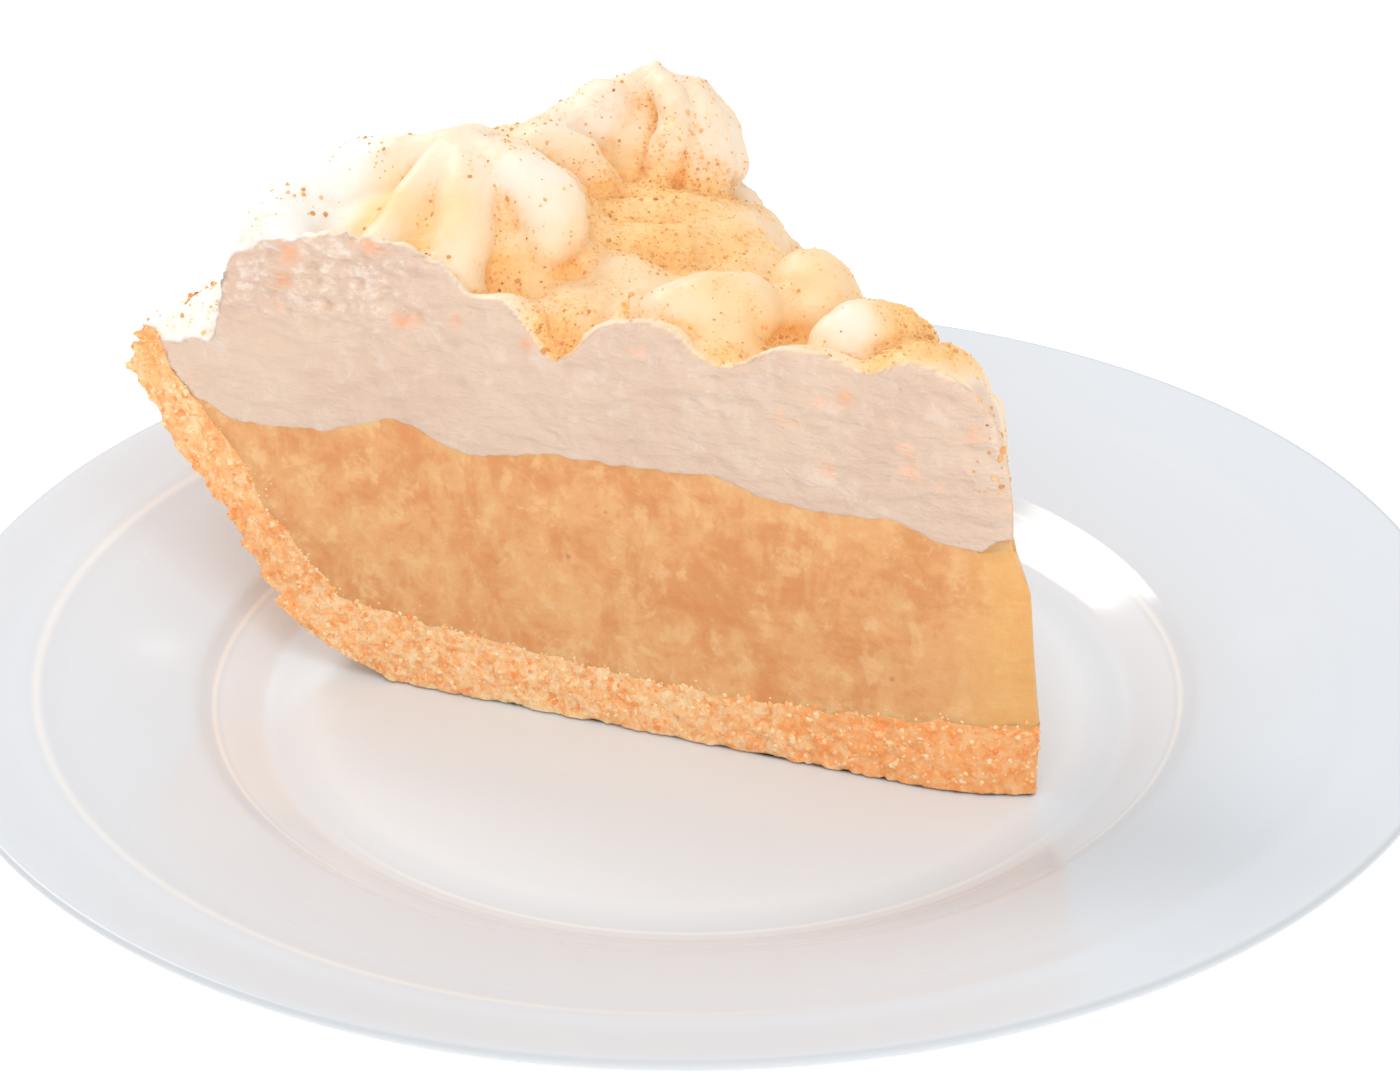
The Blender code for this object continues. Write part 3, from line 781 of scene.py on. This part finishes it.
def cream_mass():
    """The whole of the cream: spread layer, lobes, rim ruffles, swirls and dollops, trimmed to the slice."""
    mass = Mass(LOW, HIGH, GRID)
    spans, (x, y, z) = mass.window(LOW, HIGH)
    flat_x, flat_y = np.meshgrid(mass.axes[0], mass.axes[1], indexing="ij")
    radius = np.hypot(flat_x, flat_y)
    across = np.clip(np.degrees(np.arctan2(-flat_y, flat_x)) / SLICE_ANGLE, 0.0, 1.0)
    spots = np.stack([flat_x.ravel(), flat_y.ravel(), 0 * flat_x.ravel()], axis=1)
    lumps = (wobbles(spots, 10, 5) * 1.0 + wobbles(spots, 4.5, 6) * 0.5).reshape(flat_x.shape)
    level = (soft_reading(CREAM_NEAR, radius, 2.5) * (1.0 - smooth(across))
             + soft_reading(CREAM_FAR, radius, 2.5) * smooth(across)) + lumps
    slope = np.gradient(level, GRID)
    steep = np.sqrt(1.0 + slope[0] ** 2 + slope[1] ** 2)
    mass.far = ((z - level[:, :, None]) / steep[:, :, None]).astype(np.float32)

    # lobes of the spread cream along the near cut and inside
    for r, turn, width, top in (
            (19.5, 4, 10.5, 59.4), (35, -2, 7.5, 58.4), (57, -4, 9.5, 59.8), (76, -1, 7, 59.6),
            (64, 15, 8.5, 57.2), (75, 24, 9, 57.6), (66, 31, 10, 56), (80, 37, 9, 57),
            (106, -1, 9.5, 62.4), (71, 9, 6.5, 57.4), (60, 22, 7, 56.6), (71, 33, 5.5, 58.4)):
        px, py = flat(r, turn / SLICE_ANGLE)
        mass.lobe((px, py, top - 0.62 * width), (width, width, 0.62 * width), blend=2.2)
    # ruffles on the rim
    for index in range(RUFFLES):
        turn = 3.2 + 6.4 * index
        px, py = flat(RUFFLE_RADIUS, turn / SLICE_ANGLE)
        size = 4.6 + 0.7 * math.sin(index * 2.3)
        mass.lobe((px, py, 47), (size, size * 1.15, size + 0.4), turn=-turn)

    # the ledge on the rim beside the near cut
    mass.lobe((125.6, -4.2, 47.2), (4.2, 5.4, 3), blend=1.4)

    # near swirl: core, then its ropes winding down from the peak
    mass.lobe((98.5, -18.5, 56.6), (16.5, 14, 8.6), blend=2.5)
    mass.lobe((81, -15.6, 55.8), (6.4, 5.4, 4.8), turn=-20, blend=2.5)
    near = [
        [(92.2, -22.6, 70, 2), (89.4, -19.2, 68.6, 2.9), (86.8, -15.6, 66.4, 3.6), (85.4, -11.8, 63.4, 4),
         (84.8, -8.4, 60.6, 4.2), (84.6, -5.4, 58.4, 4.2)],
        [(91.4, -23.4, 69.9, 2.2), (86.4, -22.4, 68.2, 4), (81.4, -21.4, 66.4, 5), (77.8, -20.2, 64.2, 5.2),
         (75.8, -18.2, 62.2, 4.6), (76.2, -16.4, 60.8, 3.6), (78.6, -15.6, 60, 2.8)],
        [(92.6, -21.4, 70.4, 1.6), (93.6, -17.8, 68.2, 1.9), (94.2, -14.2, 66, 2.2), (94.4, -10, 63.6, 2.6),
         (94.6, -5, 61, 3)],
        [(94.8, -22.8, 69.2, 2.4), (99.6, -21.4, 66.8, 4.2), (104.8, -18.4, 64.4, 5.2),
         (108.8, -14.2, 62, 5.8), (110.4, -8, 60, 6), (108.6, -2, 58.8, 6)],
        [(94.4, -24.4, 68.4, 2.6), (101.6, -27.4, 64.2, 5), (108.4, -27.6, 62.2, 5.6), (112.6, -22.4, 59, 5)],
        [(92, -24.6, 69.4, 2.6), (93.4, -30.4, 65.6, 5), (98.2, -35.2, 61.6, 5.2), (104.4, -36.4, 58.6, 4.4)],
        [(90, -24.4, 69, 2.6), (86.2, -28, 65, 4.6), (87.6, -32.6, 61.6, 4.8)],
    ]
    for line in near:
        mass.rope(line, 1.5)
    # soft fill between the ropes, so that the valleys stay shallow
    mass.rope([(92.6, -20, 66.4, 2.6), (90.2, -15, 61.2, 4.4), (89.4, -8, 56.6, 5)], 2)
    mass.rope([(88.4, -19.8, 65.4, 2.8), (82.4, -15.8, 58.6, 4.6)], 2)
    mass.rope([(86.6, -26, 67.4, 3.4), (80.4, -27, 62.6, 4.6), (76.6, -26, 58, 4.6)], 1.4)
    mass.rope([(97.4, -20.4, 63.8, 3.6), (101, -13.6, 58.8, 5.6)], 2.4)
    mass.rope([(73.6, -21, 55.4, 4.2), (76, -27, 56.2, 4.4), (78.4, -32.6, 57, 4.2)], 2.4)

    # the rope between the swirls
    mass.rope([(96, -38.4, 62.8, 4.2), (91.6, -37.9, 63.8, 4.7), (86.6, -38.2, 64.2, 5.3),
               (82.4, -38.6, 62.8, 5), (79.6, -38.4, 61.2, 4.2)], 1)

    # far swirl
    mass.lobe((80.6, -59.4, 57), (15, 13.5, 9), turn=-36, blend=2)
    mass.lobe((82.6, -54.4, 61.6), (7.2, 6, 5.8), turn=-30, blend=2)
    mass.rope([(79, -57.4, 66.8, 2.8), (77.2, -53.4, 62, 3.8)], 2)
    far = [
        [(79.4, -59.4, 69.8, 1.8), (81.8, -56.6, 68, 3.4), (83.8, -53.6, 66, 5), (85.4, -51.2, 64, 5.4),
         (86.6, -48.6, 61.8, 4.6)],
        [(78.2, -59.6, 70, 1.8), (75.3, -56.3, 69.4, 2.2), (73, -53.2, 67.8, 2.4), (71.9, -50.2, 65.4, 2.5),
         (72.6, -47.8, 62, 2.5), (73.4, -46, 57.6, 2.6)],
        [(78, -60.4, 69, 2), (73.6, -59.4, 66.8, 3.8), (70.2, -56.4, 63.8, 4.7), (68.2, -52.8, 60.8, 4.6),
         (67.6, -50, 58.4, 3.8)],
        [(78.2, -61.4, 69.2, 2.2), (74.2, -62.6, 66.2, 4), (70.2, -60.8, 62.8, 4.4), (67.4, -57.2, 59.8, 4)],
        [(79.4, -62, 69.2, 2.2), (79.6, -66.6, 64.4, 4.4), (76, -70.6, 61, 4.6)],
        [(80.6, -61, 69.2, 2.2), (86, -64.4, 63.4, 4.4), (85.6, -70, 59.8, 4.6)],
        [(81, -59.6, 68.6, 2.2), (87.8, -59.6, 63.2, 4.2), (93.2, -61.6, 59.6, 4.8)],
        [(82, -58, 68, 2.2), (89.2, -55, 62.8, 4.2), (95, -53.6, 59.2, 4.6)],
    ]
    for line in far:
        mass.rope(line, 0.8)
    mass.rope([(78.9, -60.4, 70.6, 1.7), (78.6, -60.6, 71.9, 0.8)], 1)

    # dollops toward the pointed end
    mass.rope([(55.4, -9, 56, 4.6), (51.8, -11.6, 55.8, 5.8), (48.4, -14.2, 55.2, 5.8),
               (46.2, -17, 54.2, 4.6)], 1.2)
    mass.rope([(52, -9, 52.8, 4.8), (48, -7, 52.2, 4.6), (46.6, -3, 51, 4)], 2.2)
    mass.lobe((42.4, -24.8, 55), (6.4, 5.8, 6.2), turn=-50)
    mass.lobe((38.6, -21, 53.8), (4.8, 5.2, 4.6), blend=2)
    mass.rope([(33.4, -9.6, 55, 4.2), (31.2, -11.2, 55.6, 5), (28.8, -13.2, 54.8, 5),
               (27, -15.4, 53.6, 4.2)], 1.3)
    mass.lobe((24, -9, 52), (5.6, 5, 4.6), turn=20, blend=1.6)
    mass.rope([(60.4, -1.6, 56.6, 1.2), (59.8, -3.2, 58.8, 1), (59.2, -4, 60.8, 0.4)], 0.8)
    # the heaped middle
    mass.rope([(71, -27.6, 54.4, 5), (65, -31, 54, 5.4), (60.4, -36.8, 52.4, 5.2)], 2.4)
    mass.rope([(75.6, -41.6, 56, 4.4), (68.6, -41.4, 54.4, 6), (62.6, -44.8, 51.8, 6.4)], 2.2)
    mass.lobe((66.4, -18.6, 54), (8.2, 6, 5.2), turn=-30, blend=1.6)
    mass.rope([(74, -34.4, 57, 3.8), (66, -38.6, 56.2, 4.4), (59, -41, 53.8, 4.4)], 1.4)

    # the near cut: its top edge is filled and trimmed to the edge line, and torn at the swirl
    line_x = mass.axes[0]
    line_spots = np.stack([line_x, 0.0 * line_x, 0.0 * line_x], axis=1)
    torn = wobbles(line_spots, 3.1, 15) * 0.8 + wobbles(line_spots, 1.4, 16) * 0.5
    torn = torn * rising(line_x, 80, 8)
    edge = (soft_reading(CREAM_EDGE_NEAR, flat_x, 0.35) + torn[:, None])[:, :, None]
    behind = np.maximum(-y, 0.0)
    fall = 0.9 + 0.8 * falling(x, 58, 8)
    fill = (z - (edge - fall * behind)) * 0.7
    mass.add(spans, np.broadcast_to(fill, mass.far.shape), 0.8)
    mass.keep((z - (edge + 1.25 * behind)) * 0.62, 0.8)

    # the two cuts, the custard below, the crust wall behind and the worn pointed end
    floor = custard_top(radius, np.maximum(-flat_y, 0.0))[:, :, None]
    mass.keep(floor - CREAM_BURIED - z)
    wall_r = reading([(h, r) for r, h in CRUST_INNER[-6:]], z) + 0.1
    over_rim = smooth((z - RIM_TOP) / 1.2)
    lap = LAP_RADIUS + LAP_MORE * rising(flat_y, -12, 4)[:, :, None]
    wall = radius[:, :, None] - (wall_r + (lap - wall_r) * over_rim)
    mass.keep(wall, 0.5)
    tip_line = reading([(34, 6.6), (41, 7.2), (44, 8), (47, 8.8), (50, 9.8), (54, 12.2), (56, 14.6),
                        (58, 19), (59.5, 24), (62, 32)], z)
    turn = np.arctan2(-flat_y, np.maximum(flat_x, 0.1)) / math.radians(SLICE_ANGLE)
    turn = np.clip(turn, 0.0, 1.0)[:, :, None]
    edge_r = tip_line + CUSTARD_SKEW * turn
    mass.keep((edge_r - 0.12 * edge_r * np.sin(math.pi * turn)) - radius[:, :, None], 1.4)
    tucked = CREAM_TUCK * (1.0 - smooth((z - floor + 1.0) / 0.6))
    mass.keep(y - FACE_LEVEL + worn(x) + tucked, 0.25)
    mass.keep(x * FAR_NORMAL[0] + y * FAR_NORMAL[1] - FACE_LEVEL + tucked, 0.25)
    return mass


heap = cream_mass()
skin_points, skin_faces = heap.skin()
valley = heap.hollow(skin_points, 2.4)
wide_valley = heap.hollow(skin_points, 5.0)
del heap

# views of the points' columns, which follow every change to the points
skin_x, skin_y, skin_h = skin_points.T
near_gap = skin_y - FACE_LEVEL + worn(skin_x)
far_gap = skin_x * FAR_NORMAL[0] + skin_y * FAR_NORMAL[1] - FACE_LEVEL
near_cut = rising(near_gap, -0.35, 0.3)
far_cut = rising(far_gap, -0.35, 0.3)
skin_r = np.hypot(skin_x, skin_y)
above_custard = skin_h - custard_top(skin_r, np.maximum(-skin_y, 0.0))
underside = above_custard < -0.6

# the cuts are dragged and pitted, most at the top of the near swirl
torn_share = rising(skin_x, 78, 16) * rising(skin_h, 49, 7)
grain = wobbles(skin_points * np.array([0.6, 1.0, 1.5]), 2.4, 8.0)
drag = (grain * (0.42 + 0.75 * torn_share) + wobbles(skin_points, 7, 9) * 0.4
        + wobbles(skin_points, 1.3, 10) * (0.16 + 0.5 * torn_share))
drag = np.minimum(drag - 0.1, 0.4) * smooth(above_custard / 1.6)
skin_y += near_cut * drag
skin_x += far_cut * drag * FAR_NORMAL[0]
skin_y += far_cut * drag * FAR_NORMAL[1]

topping = mesh_piece("whipped_cream_topping", to_plate(skin_points), skin_faces.tolist(), cream)


def patch(x, y, size, height=None):
    """1 at a place on the slice, fading over a size."""
    gone = ((skin_x - x) ** 2 + (skin_y - y) ** 2) / size ** 2
    if height is not None:
        gone = gone + ((skin_h - height) / size) ** 2
    return np.exp(-gone)


def patches(*table):
    """A sum of patches, each (amount, x, y, size) or (amount, x, y, size, height)."""
    return sum(amount * patch(*place) for amount, *place in table)


cut_share = np.maximum(near_cut, far_cut)
tip_face = falling(skin_r, 14, 4) * falling(skin_h, 55, 2)
cut_share = np.maximum(cut_share, 0.75 * tip_face)
bare = (1.0 - cut_share) * (~underside)

# dust: deep in the valleys, heavy over the middle and the far side, light on the near swirl
middle = np.exp(-((skin_x - 66.0) / 15.0) ** 2 - ((skin_y + 32.0) / 15.0) ** 2)
swirl = np.exp(-((skin_x - 98.0) / 17.0) ** 2 - ((skin_y + 14.0) / 16.0) ** 2)
patchy = wobbles(skin_points, 6, 11)
speckled = wobbles(skin_points, 2.2, 12)
crevices = patches(
    (1, 59.6, -3, 1.6, 59.6), (1, 68.3, -1.5, 3.6), (0.7, 45.9, -2, 3), (0.7, 26.8, -2, 3),
    (0.5, 81, -14, 4, 58), (1, 71, -49, 6, 57), (0.7, 77, -32, 4.5, 58),
    (1, 25, -14, 5), (0.9, 22.5, -8, 4), (0.8, 75.2, -37.4, 2.8, 60), (0.6, 69.6, -43, 3.2, 59),
    (0.6, 64, -47, 4, 58), (0.5, 62, -24, 5))
powder = (0.10 + 0.42 * middle - 0.16 * swirl + 0.8 * rising(valley, -0.05, 0.8) * (1.0 - 0.4 * swirl)
          + 0.7 * crevices + 0.22 * patchy + 0.24 * speckled
          + patches((0.30, 69, -7, 6), (-0.25, 76.5, -17, 5, 66), (-0.35, 30.5, -7, 3.2)))
powder = np.clip(powder, 0.0, 1.0) * bare

# warm tint, painted shade: warmer in wide valleys and creases where shade falls and toward the point, and
# none at the brightly lit white outer end
warm_shade_share = (0.47 + 0.18 * falling(skin_x, 50, 16) + 0.50 * middle
          + 0.55 * rising(wide_valley, -0.4, 2.4) + 0.10 * patchy + 0.45 * crevices
          - 0.70 * rising(skin_x, 98, 8) + 0.2 * rising(skin_x, 109, 3))
# painted shade spot by spot: more in shaded hollows and under curls, less on lit tops
warm_shade_share += patches(
    (0.55, 97, -10, 4.5, 64.5), (0.35, 86, -9, 5), (0.15, 50, -10, 6), (0.40, 81, -50.5, 5.5, 61.5),
    (0.25, 78.5, -15, 5, 57.5), (0.25, 69, -7, 7), (-0.08, 76.5, -17, 5, 66),
    (-0.3, 30.5, -7, 3.2), (0.5, 22, -6.5, 4.5), (-0.30, 80, -20, 8, 68),
    (-0.4, 83, -48, 6, 67), (-0.2, 68.5, -50, 5, 63), (-0.15, 64, -53, 5, 62),
    (0.15, 40.6, -20, 6, 58), (0.10, 89, -11, 5, 66), (-0.3, 57, -10.5, 4, 58),
    (-0.25, 33, -10, 3, 59))
warm_shade_share = np.clip(warm_shade_share, 0.0, 1.0) * bare

# fine grit where dust lies, and a slow swell all over, along the normals and in millimetres
grit = wobbles(skin_points, 1.5, 41) * 0.38 + wobbles(skin_points, 3.2, 42) * 0.52
swell = wobbles(skin_points, 6.5, 43) * 0.5
rise = (grit * (0.16 + 0.84 * smooth(powder * 1.6)) + swell) * bare
normals = np.zeros(len(skin_points) * 3, np.float32)
topping.data.vertices.foreach_get("normal", normals)
roughened = to_plate(skin_points) + normals.reshape(-1, 3) * rise[:, None] * MM
topping.data.vertices.foreach_set("co", roughened.astype(np.float32).ravel())
topping.data.update()

# the warm tint is painted shade
mark(topping, "warm_painted_shade", warm_shade_share)
# the cut faces take the darker, pinker colour of painted shade
mark(topping, "cut", cut_share)
stain = sum(patch(x, 0, size, height) for x, size, height in (
    (104.9, 1.3, 61.5), (106.3, 1.2, 57.6), (92.9, 1.3, 64.2), (89.5, 1.2, 54.2), (87.4, 0.9, 54.9),
    (81.6, 0.8, 55.3), (30, 1, 52.5), (72, 0.9, 53.5), (14, 1, 50)))
mark(topping, "stain", np.clip(stain, 0.0, 1.0) * near_cut)
mark(topping, "torn", torn_share * cut_share)
mark(topping, "dust", powder)
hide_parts("whipped_cream", "swirl_near", "swirl_far", "dollop_between", "dollop_round",
            "dollop_back", "dollop_tip")
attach(topping, "root")


# ======== crumbs, scattered over a piece by its own marks

PER_SQUARE_CENTIMETRE = 10000.0
FULL_TURNS = (6.283, 6.283, 6.283)


def crumb_tree(name, finish):
    """Geometry tree: grains on the faces of a piece, more where the mark called sprinkle is high."""
    tree = bpy.data.node_groups.new(name, "GeometryNodeTree")
    tree.interface.new_socket("Geometry", in_out="INPUT", socket_type="NodeSocketGeometry")
    for label in ("Density", "Smallest", "Largest", "Sink"):
        tree.interface.new_socket(label, in_out="INPUT", socket_type="NodeSocketFloat")
    tree.interface.new_socket("Seed", in_out="INPUT", socket_type="NodeSocketInt")
    tree.interface.new_socket("Geometry", in_out="OUTPUT", socket_type="NodeSocketGeometry")
    given = tree.nodes.new("NodeGroupInput").outputs

    def add(kind, inputs, output=0, **settings):
        return add_node(tree, kind, settings, inputs).outputs[output]

    def scaled(vector, factor):
        return add("ShaderNodeVectorMath", {0: vector, "Scale": factor}, operation="SCALE")

    share = add("GeometryNodeInputNamedAttribute", {"Name": "sprinkle"}, "Attribute", data_type="FLOAT")
    density = add("ShaderNodeMath", {0: share, 1: given["Density"]}, operation="MULTIPLY")
    spread = add_node(tree, "GeometryNodeDistributePointsOnFaces", {"distribute_method": "RANDOM"},
                      {"Mesh": given["Geometry"], "Density": density, "Seed": given["Seed"]}).outputs
    # each grain's tone, size, shape and turn are drawn with seeds of their own
    tone = add("FunctionNodeRandomValue", {"Seed": 11}, 1, data_type="FLOAT")
    draw = add("FunctionNodeRandomValue", {"Seed": 5}, 1, data_type="FLOAT")
    skew = add("ShaderNodeMath", {0: draw, 1: 2.2}, operation="POWER")
    size = add("ShaderNodeMapRange", {"Value": skew, "To Min": given["Smallest"], "To Max": given["Largest"]})
    shape = add("FunctionNodeRandomValue", {"Min": (0.75, 0.75, 0.6), "Max": (1.25, 1.25, 1.0), "Seed": 3},
                data_type="FLOAT_VECTOR")
    turn = add("FunctionNodeRandomValue", {"Max": FULL_TURNS, "Seed": 7}, data_type="FLOAT_VECTOR")
    # one lumpy ball stands for every grain
    ball = add("GeometryNodeMeshIcoSphere", {"Radius": 0.5, "Subdivisions": 1}, "Mesh")
    lump = add("ShaderNodeTexNoise", {"Vector": add("GeometryNodeInputPosition", {}), "Scale": 2.6}, "Color")
    centred = add("ShaderNodeVectorMath", {0: lump, 1: (0.5, 0.5, 0.5)}, operation="SUBTRACT")
    crumb = add("GeometryNodeSetPosition", {"Geometry": ball, "Offset": scaled(centred, 0.55)})
    inward = add("ShaderNodeMath", {0: size, 1: given["Sink"]}, operation="MULTIPLY")
    seated = add("GeometryNodeSetPosition",
                 {"Geometry": spread["Points"], "Offset": scaled(spread["Normal"], inward)})
    toned = add("GeometryNodeStoreNamedAttribute", {"Geometry": seated, "Name": "tone", "Value": tone},
                data_type="FLOAT", domain="POINT")
    grains = add("GeometryNodeInstanceOnPoints", {
        "Points": toned, "Instance": crumb, "Rotation": turn, "Scale": scaled(shape, size)})
    dressed = add("GeometryNodeSetMaterial",
                  {"Geometry": add("GeometryNodeRealizeInstances", {"Geometry": grains}), "Material": finish})
    tree.links.new(dressed, tree.nodes.new("NodeGroupOutput").inputs[0])
    return tree


def sprinkle(name, carrier, shares, finish, density, smallest, largest, sink, seed):
    """Grains over a carrier piece, made a plain mesh.

    Density is grains a square centimetre where the share is 1, and sizes are in millimetres. A grain's
    middle is moved along the surface's normal by sink times its size, so a negative sink sets it into the
    surface.
    """
    mark(carrier, "sprinkle", shares)
    tree = crumb_tree(name + " tree", finish)
    sockets = {item.name: item.identifier for item in tree.interface.items_tree if item.in_out == "INPUT"}
    holder = new_object(name + " holder", carrier.data)
    work = holder.modifiers.new("grains", "NODES")
    work.node_group = tree
    for label, value in (("Density", density * PER_SQUARE_CENTIMETRE), ("Smallest", smallest * MM),
                         ("Largest", largest * MM), ("Sink", sink), ("Seed", seed)):
        work[sockets[label]] = value
    bpy.context.view_layer.update()
    graph = bpy.context.evaluated_depsgraph_get()
    data = bpy.data.meshes.new_from_object(holder.evaluated_get(graph), depsgraph=graph)
    holder.modifiers.remove(work)
    bpy.data.objects.remove(holder)
    carrier.data.attributes.remove(carrier.data.attributes["sprinkle"])
    data.name = name
    if not data.materials:
        data.materials.append(finish)
    piece = new_object(name, data)
    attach(piece, "root")


def crust_shares():
    """Crumbs on the crust's cut edges and its outer wall, in patches."""
    at = positions(crust)
    x, y, height = to_slice(at)
    near_face = y > -1.2 - worn(x)
    far_face = x * FAR_NORMAL[0] + y * FAR_NORMAL[1] > -1.2
    wall_face = np.hypot(x, y) > reading([(h, r) for r, h in CRUST_OUTER[3:]], height) - 2.0
    share = np.clip(near_face + far_face + 0.7 * (wall_face & (height > 1.5)), 0.0, 1.0) * (height > 0.6)
    return share * (0.55 + 0.45 * smooth(wobbles(at, 4, 21) + 0.5))


def custard_edge_shares():
    """Crumbs pressed into the custard's near cut beside the crust."""
    x, y, height = to_slice(positions(filling))
    above_bed = height - reading(CRUST_INNER[:6], x)
    off_wall = (reading([(h, r) for r, h in CRUST_INNER[5:]], height) - x) * 0.8
    return (1.0 - smooth(np.where(x < 101.0, above_bed, off_wall) / 2.6)) * (y > -1.0)


sprinkle("crust_crumbs", crust, crust_shares(), crumbs, 118.0, 0.5, 1.35, -0.25, 4)
sprinkle(
    "custard_edge_crumbs", filling, custard_edge_shares(), crumbs, 60.0, 0.35, 0.95, -0.36, 14)

fine_share = np.clip(powder * 1.15 - 0.05, 0.0, 1.0) ** 1.3
sprinkle("cream_dust", topping, fine_share, dust, 360.0, 0.16, 0.5, -0.1, 9)
tip_line_share = np.exp(-((skin_r - 11.5) / 1.6) ** 2) * (skin_h > 42.0) * (skin_y > -5.0)
coarse_share = np.clip(0.08 + 1.2 * crevices + 0.3 * middle + 0.5 * rising(valley, 0.1, 0.7)
                       - 0.1 * swirl, 0.0, 1.6) * bare
coarse_share = np.maximum(coarse_share, 1.5 * tip_line_share)
# more coarse crumbs along the outline of the swirls and the rim
for place in ((112.8, -19.1), (108.9, -29.2), (103.7, -31.8), (98.6, -31.5), (91.4, -36.9), (86.7, -37.2),
              (107.4, -7.9), (110.5, -10.5), (105.8, -17.9), (100.3, -17.9), (83.0, -57.0), (72.0, -62.0),
              (127.0, -3.4), (123.9, -6.0)):
    coarse_share = np.maximum(coarse_share, patch(*place, 2.4) * bare)
sprinkle("cream_crumbs", topping, coarse_share, toasted, 46.0, 0.30, 1.0, -0.14, 19)


# ======== floor, light and camera

def plain_floor():
    made = bpy.data.materials.new("white sweep")
    made.use_nodes = True
    shader = made.node_tree.nodes["Principled BSDF"]
    for label, value in (("Base Color", (0.95, 0.95, 0.95, 1.0)), ("Roughness", 0.9),
                         ("Specular IOR Level", 0.0), ("Emission Color", (1.0, 1.0, 1.0, 1.0)),
                         ("Emission Strength", 0.45)):
        shader.inputs[label].default_value = value
    data = bpy.data.meshes.new("floor")
    size, low = 4.0, -0.0004
    data.from_pydata([(-size, -size, low), (size, -size, low), (size, size, low), (-size, size, low)],
                     [], [(0, 1, 2, 3)])
    data.materials.append(made)
    floor = new_object("floor", data)


LIGHT_AIM = Vector((0.0, 0.0, 0.03))
WHITE = (1.0, 1.0, 1.0)


def softbox(name, azimuth, height, distance, size, power, colour):
    """A square of light aimed at the slice; azimuth 0 is straight behind it, and height is its rise."""
    turn, rise = math.radians(azimuth), math.radians(height)
    level = math.cos(rise)
    place = Vector((math.sin(turn) * level, math.cos(turn) * level, math.sin(rise))) * distance
    lamp = bpy.data.lights.new(name, "AREA")
    lamp.shape = "RECTANGLE"
    lamp.size, lamp.size_y = size
    lamp.energy = power
    lamp.color = colour
    holder = new_object(name, lamp)
    holder.location = place
    holder.rotation_euler = (LIGHT_AIM - place).to_track_quat("-Z", "Y").to_euler()


plain_floor()
world = bpy.data.worlds.new("studio")
bpy.context.scene.world = world
world.use_nodes = True
backdrop = world.node_tree.nodes["Background"].inputs
backdrop["Color"].default_value = (1.0, 1.0, 1.0, 1.0)
backdrop["Strength"].default_value = 0.72

softbox("window behind left", -38.0, 44.0, 0.75, (0.27, 0.27), 1.7, (1.0, 0.995, 0.985))
softbox("small lamp behind right", 29.0, 27.0, 0.8, (0.07, 0.06), 0.03, WHITE)
softbox("small lamp behind", 1.0, 32.0, 0.9, (0.03, 0.02), 0.005, WHITE)
softbox("high front fill", 170.0, 60.0, 1.0, (0.6, 0.5), 2.5, WHITE)
softbox("low front fill", 176.0, 14.0, 1.0, (0.7, 0.3), 1.6, WHITE)


def camera():
    """The camera, with its focal length in pixels of the frame."""
    focal = 2500.0
    elevation, roll, distance = math.radians(27.28), math.radians(-0.63), 0.3494
    aim = Vector((0.0006, 0.0139, 0.022))
    back = Vector((0.0, -math.cos(elevation), math.sin(elevation)))
    right = Vector((1.0, 0.0, 0.0))
    up = back.cross(right)
    across = math.cos(roll) * right + math.sin(roll) * up
    above = -math.sin(roll) * right + math.cos(roll) * up
    lens = bpy.data.cameras.new("camera")
    lens.sensor_width = 36.0
    lens.lens = lens.sensor_width * focal / FRAME_WIDTH
    lens.clip_start = 0.01
    holder = new_object("camera", lens)
    placed = Matrix((across, above, back)).transposed().to_4x4()
    placed.translation = aim + back * distance
    holder.matrix_world = placed
    bpy.context.scene.camera = holder


camera()
bpy.context.scene.view_settings.view_transform = "Standard"
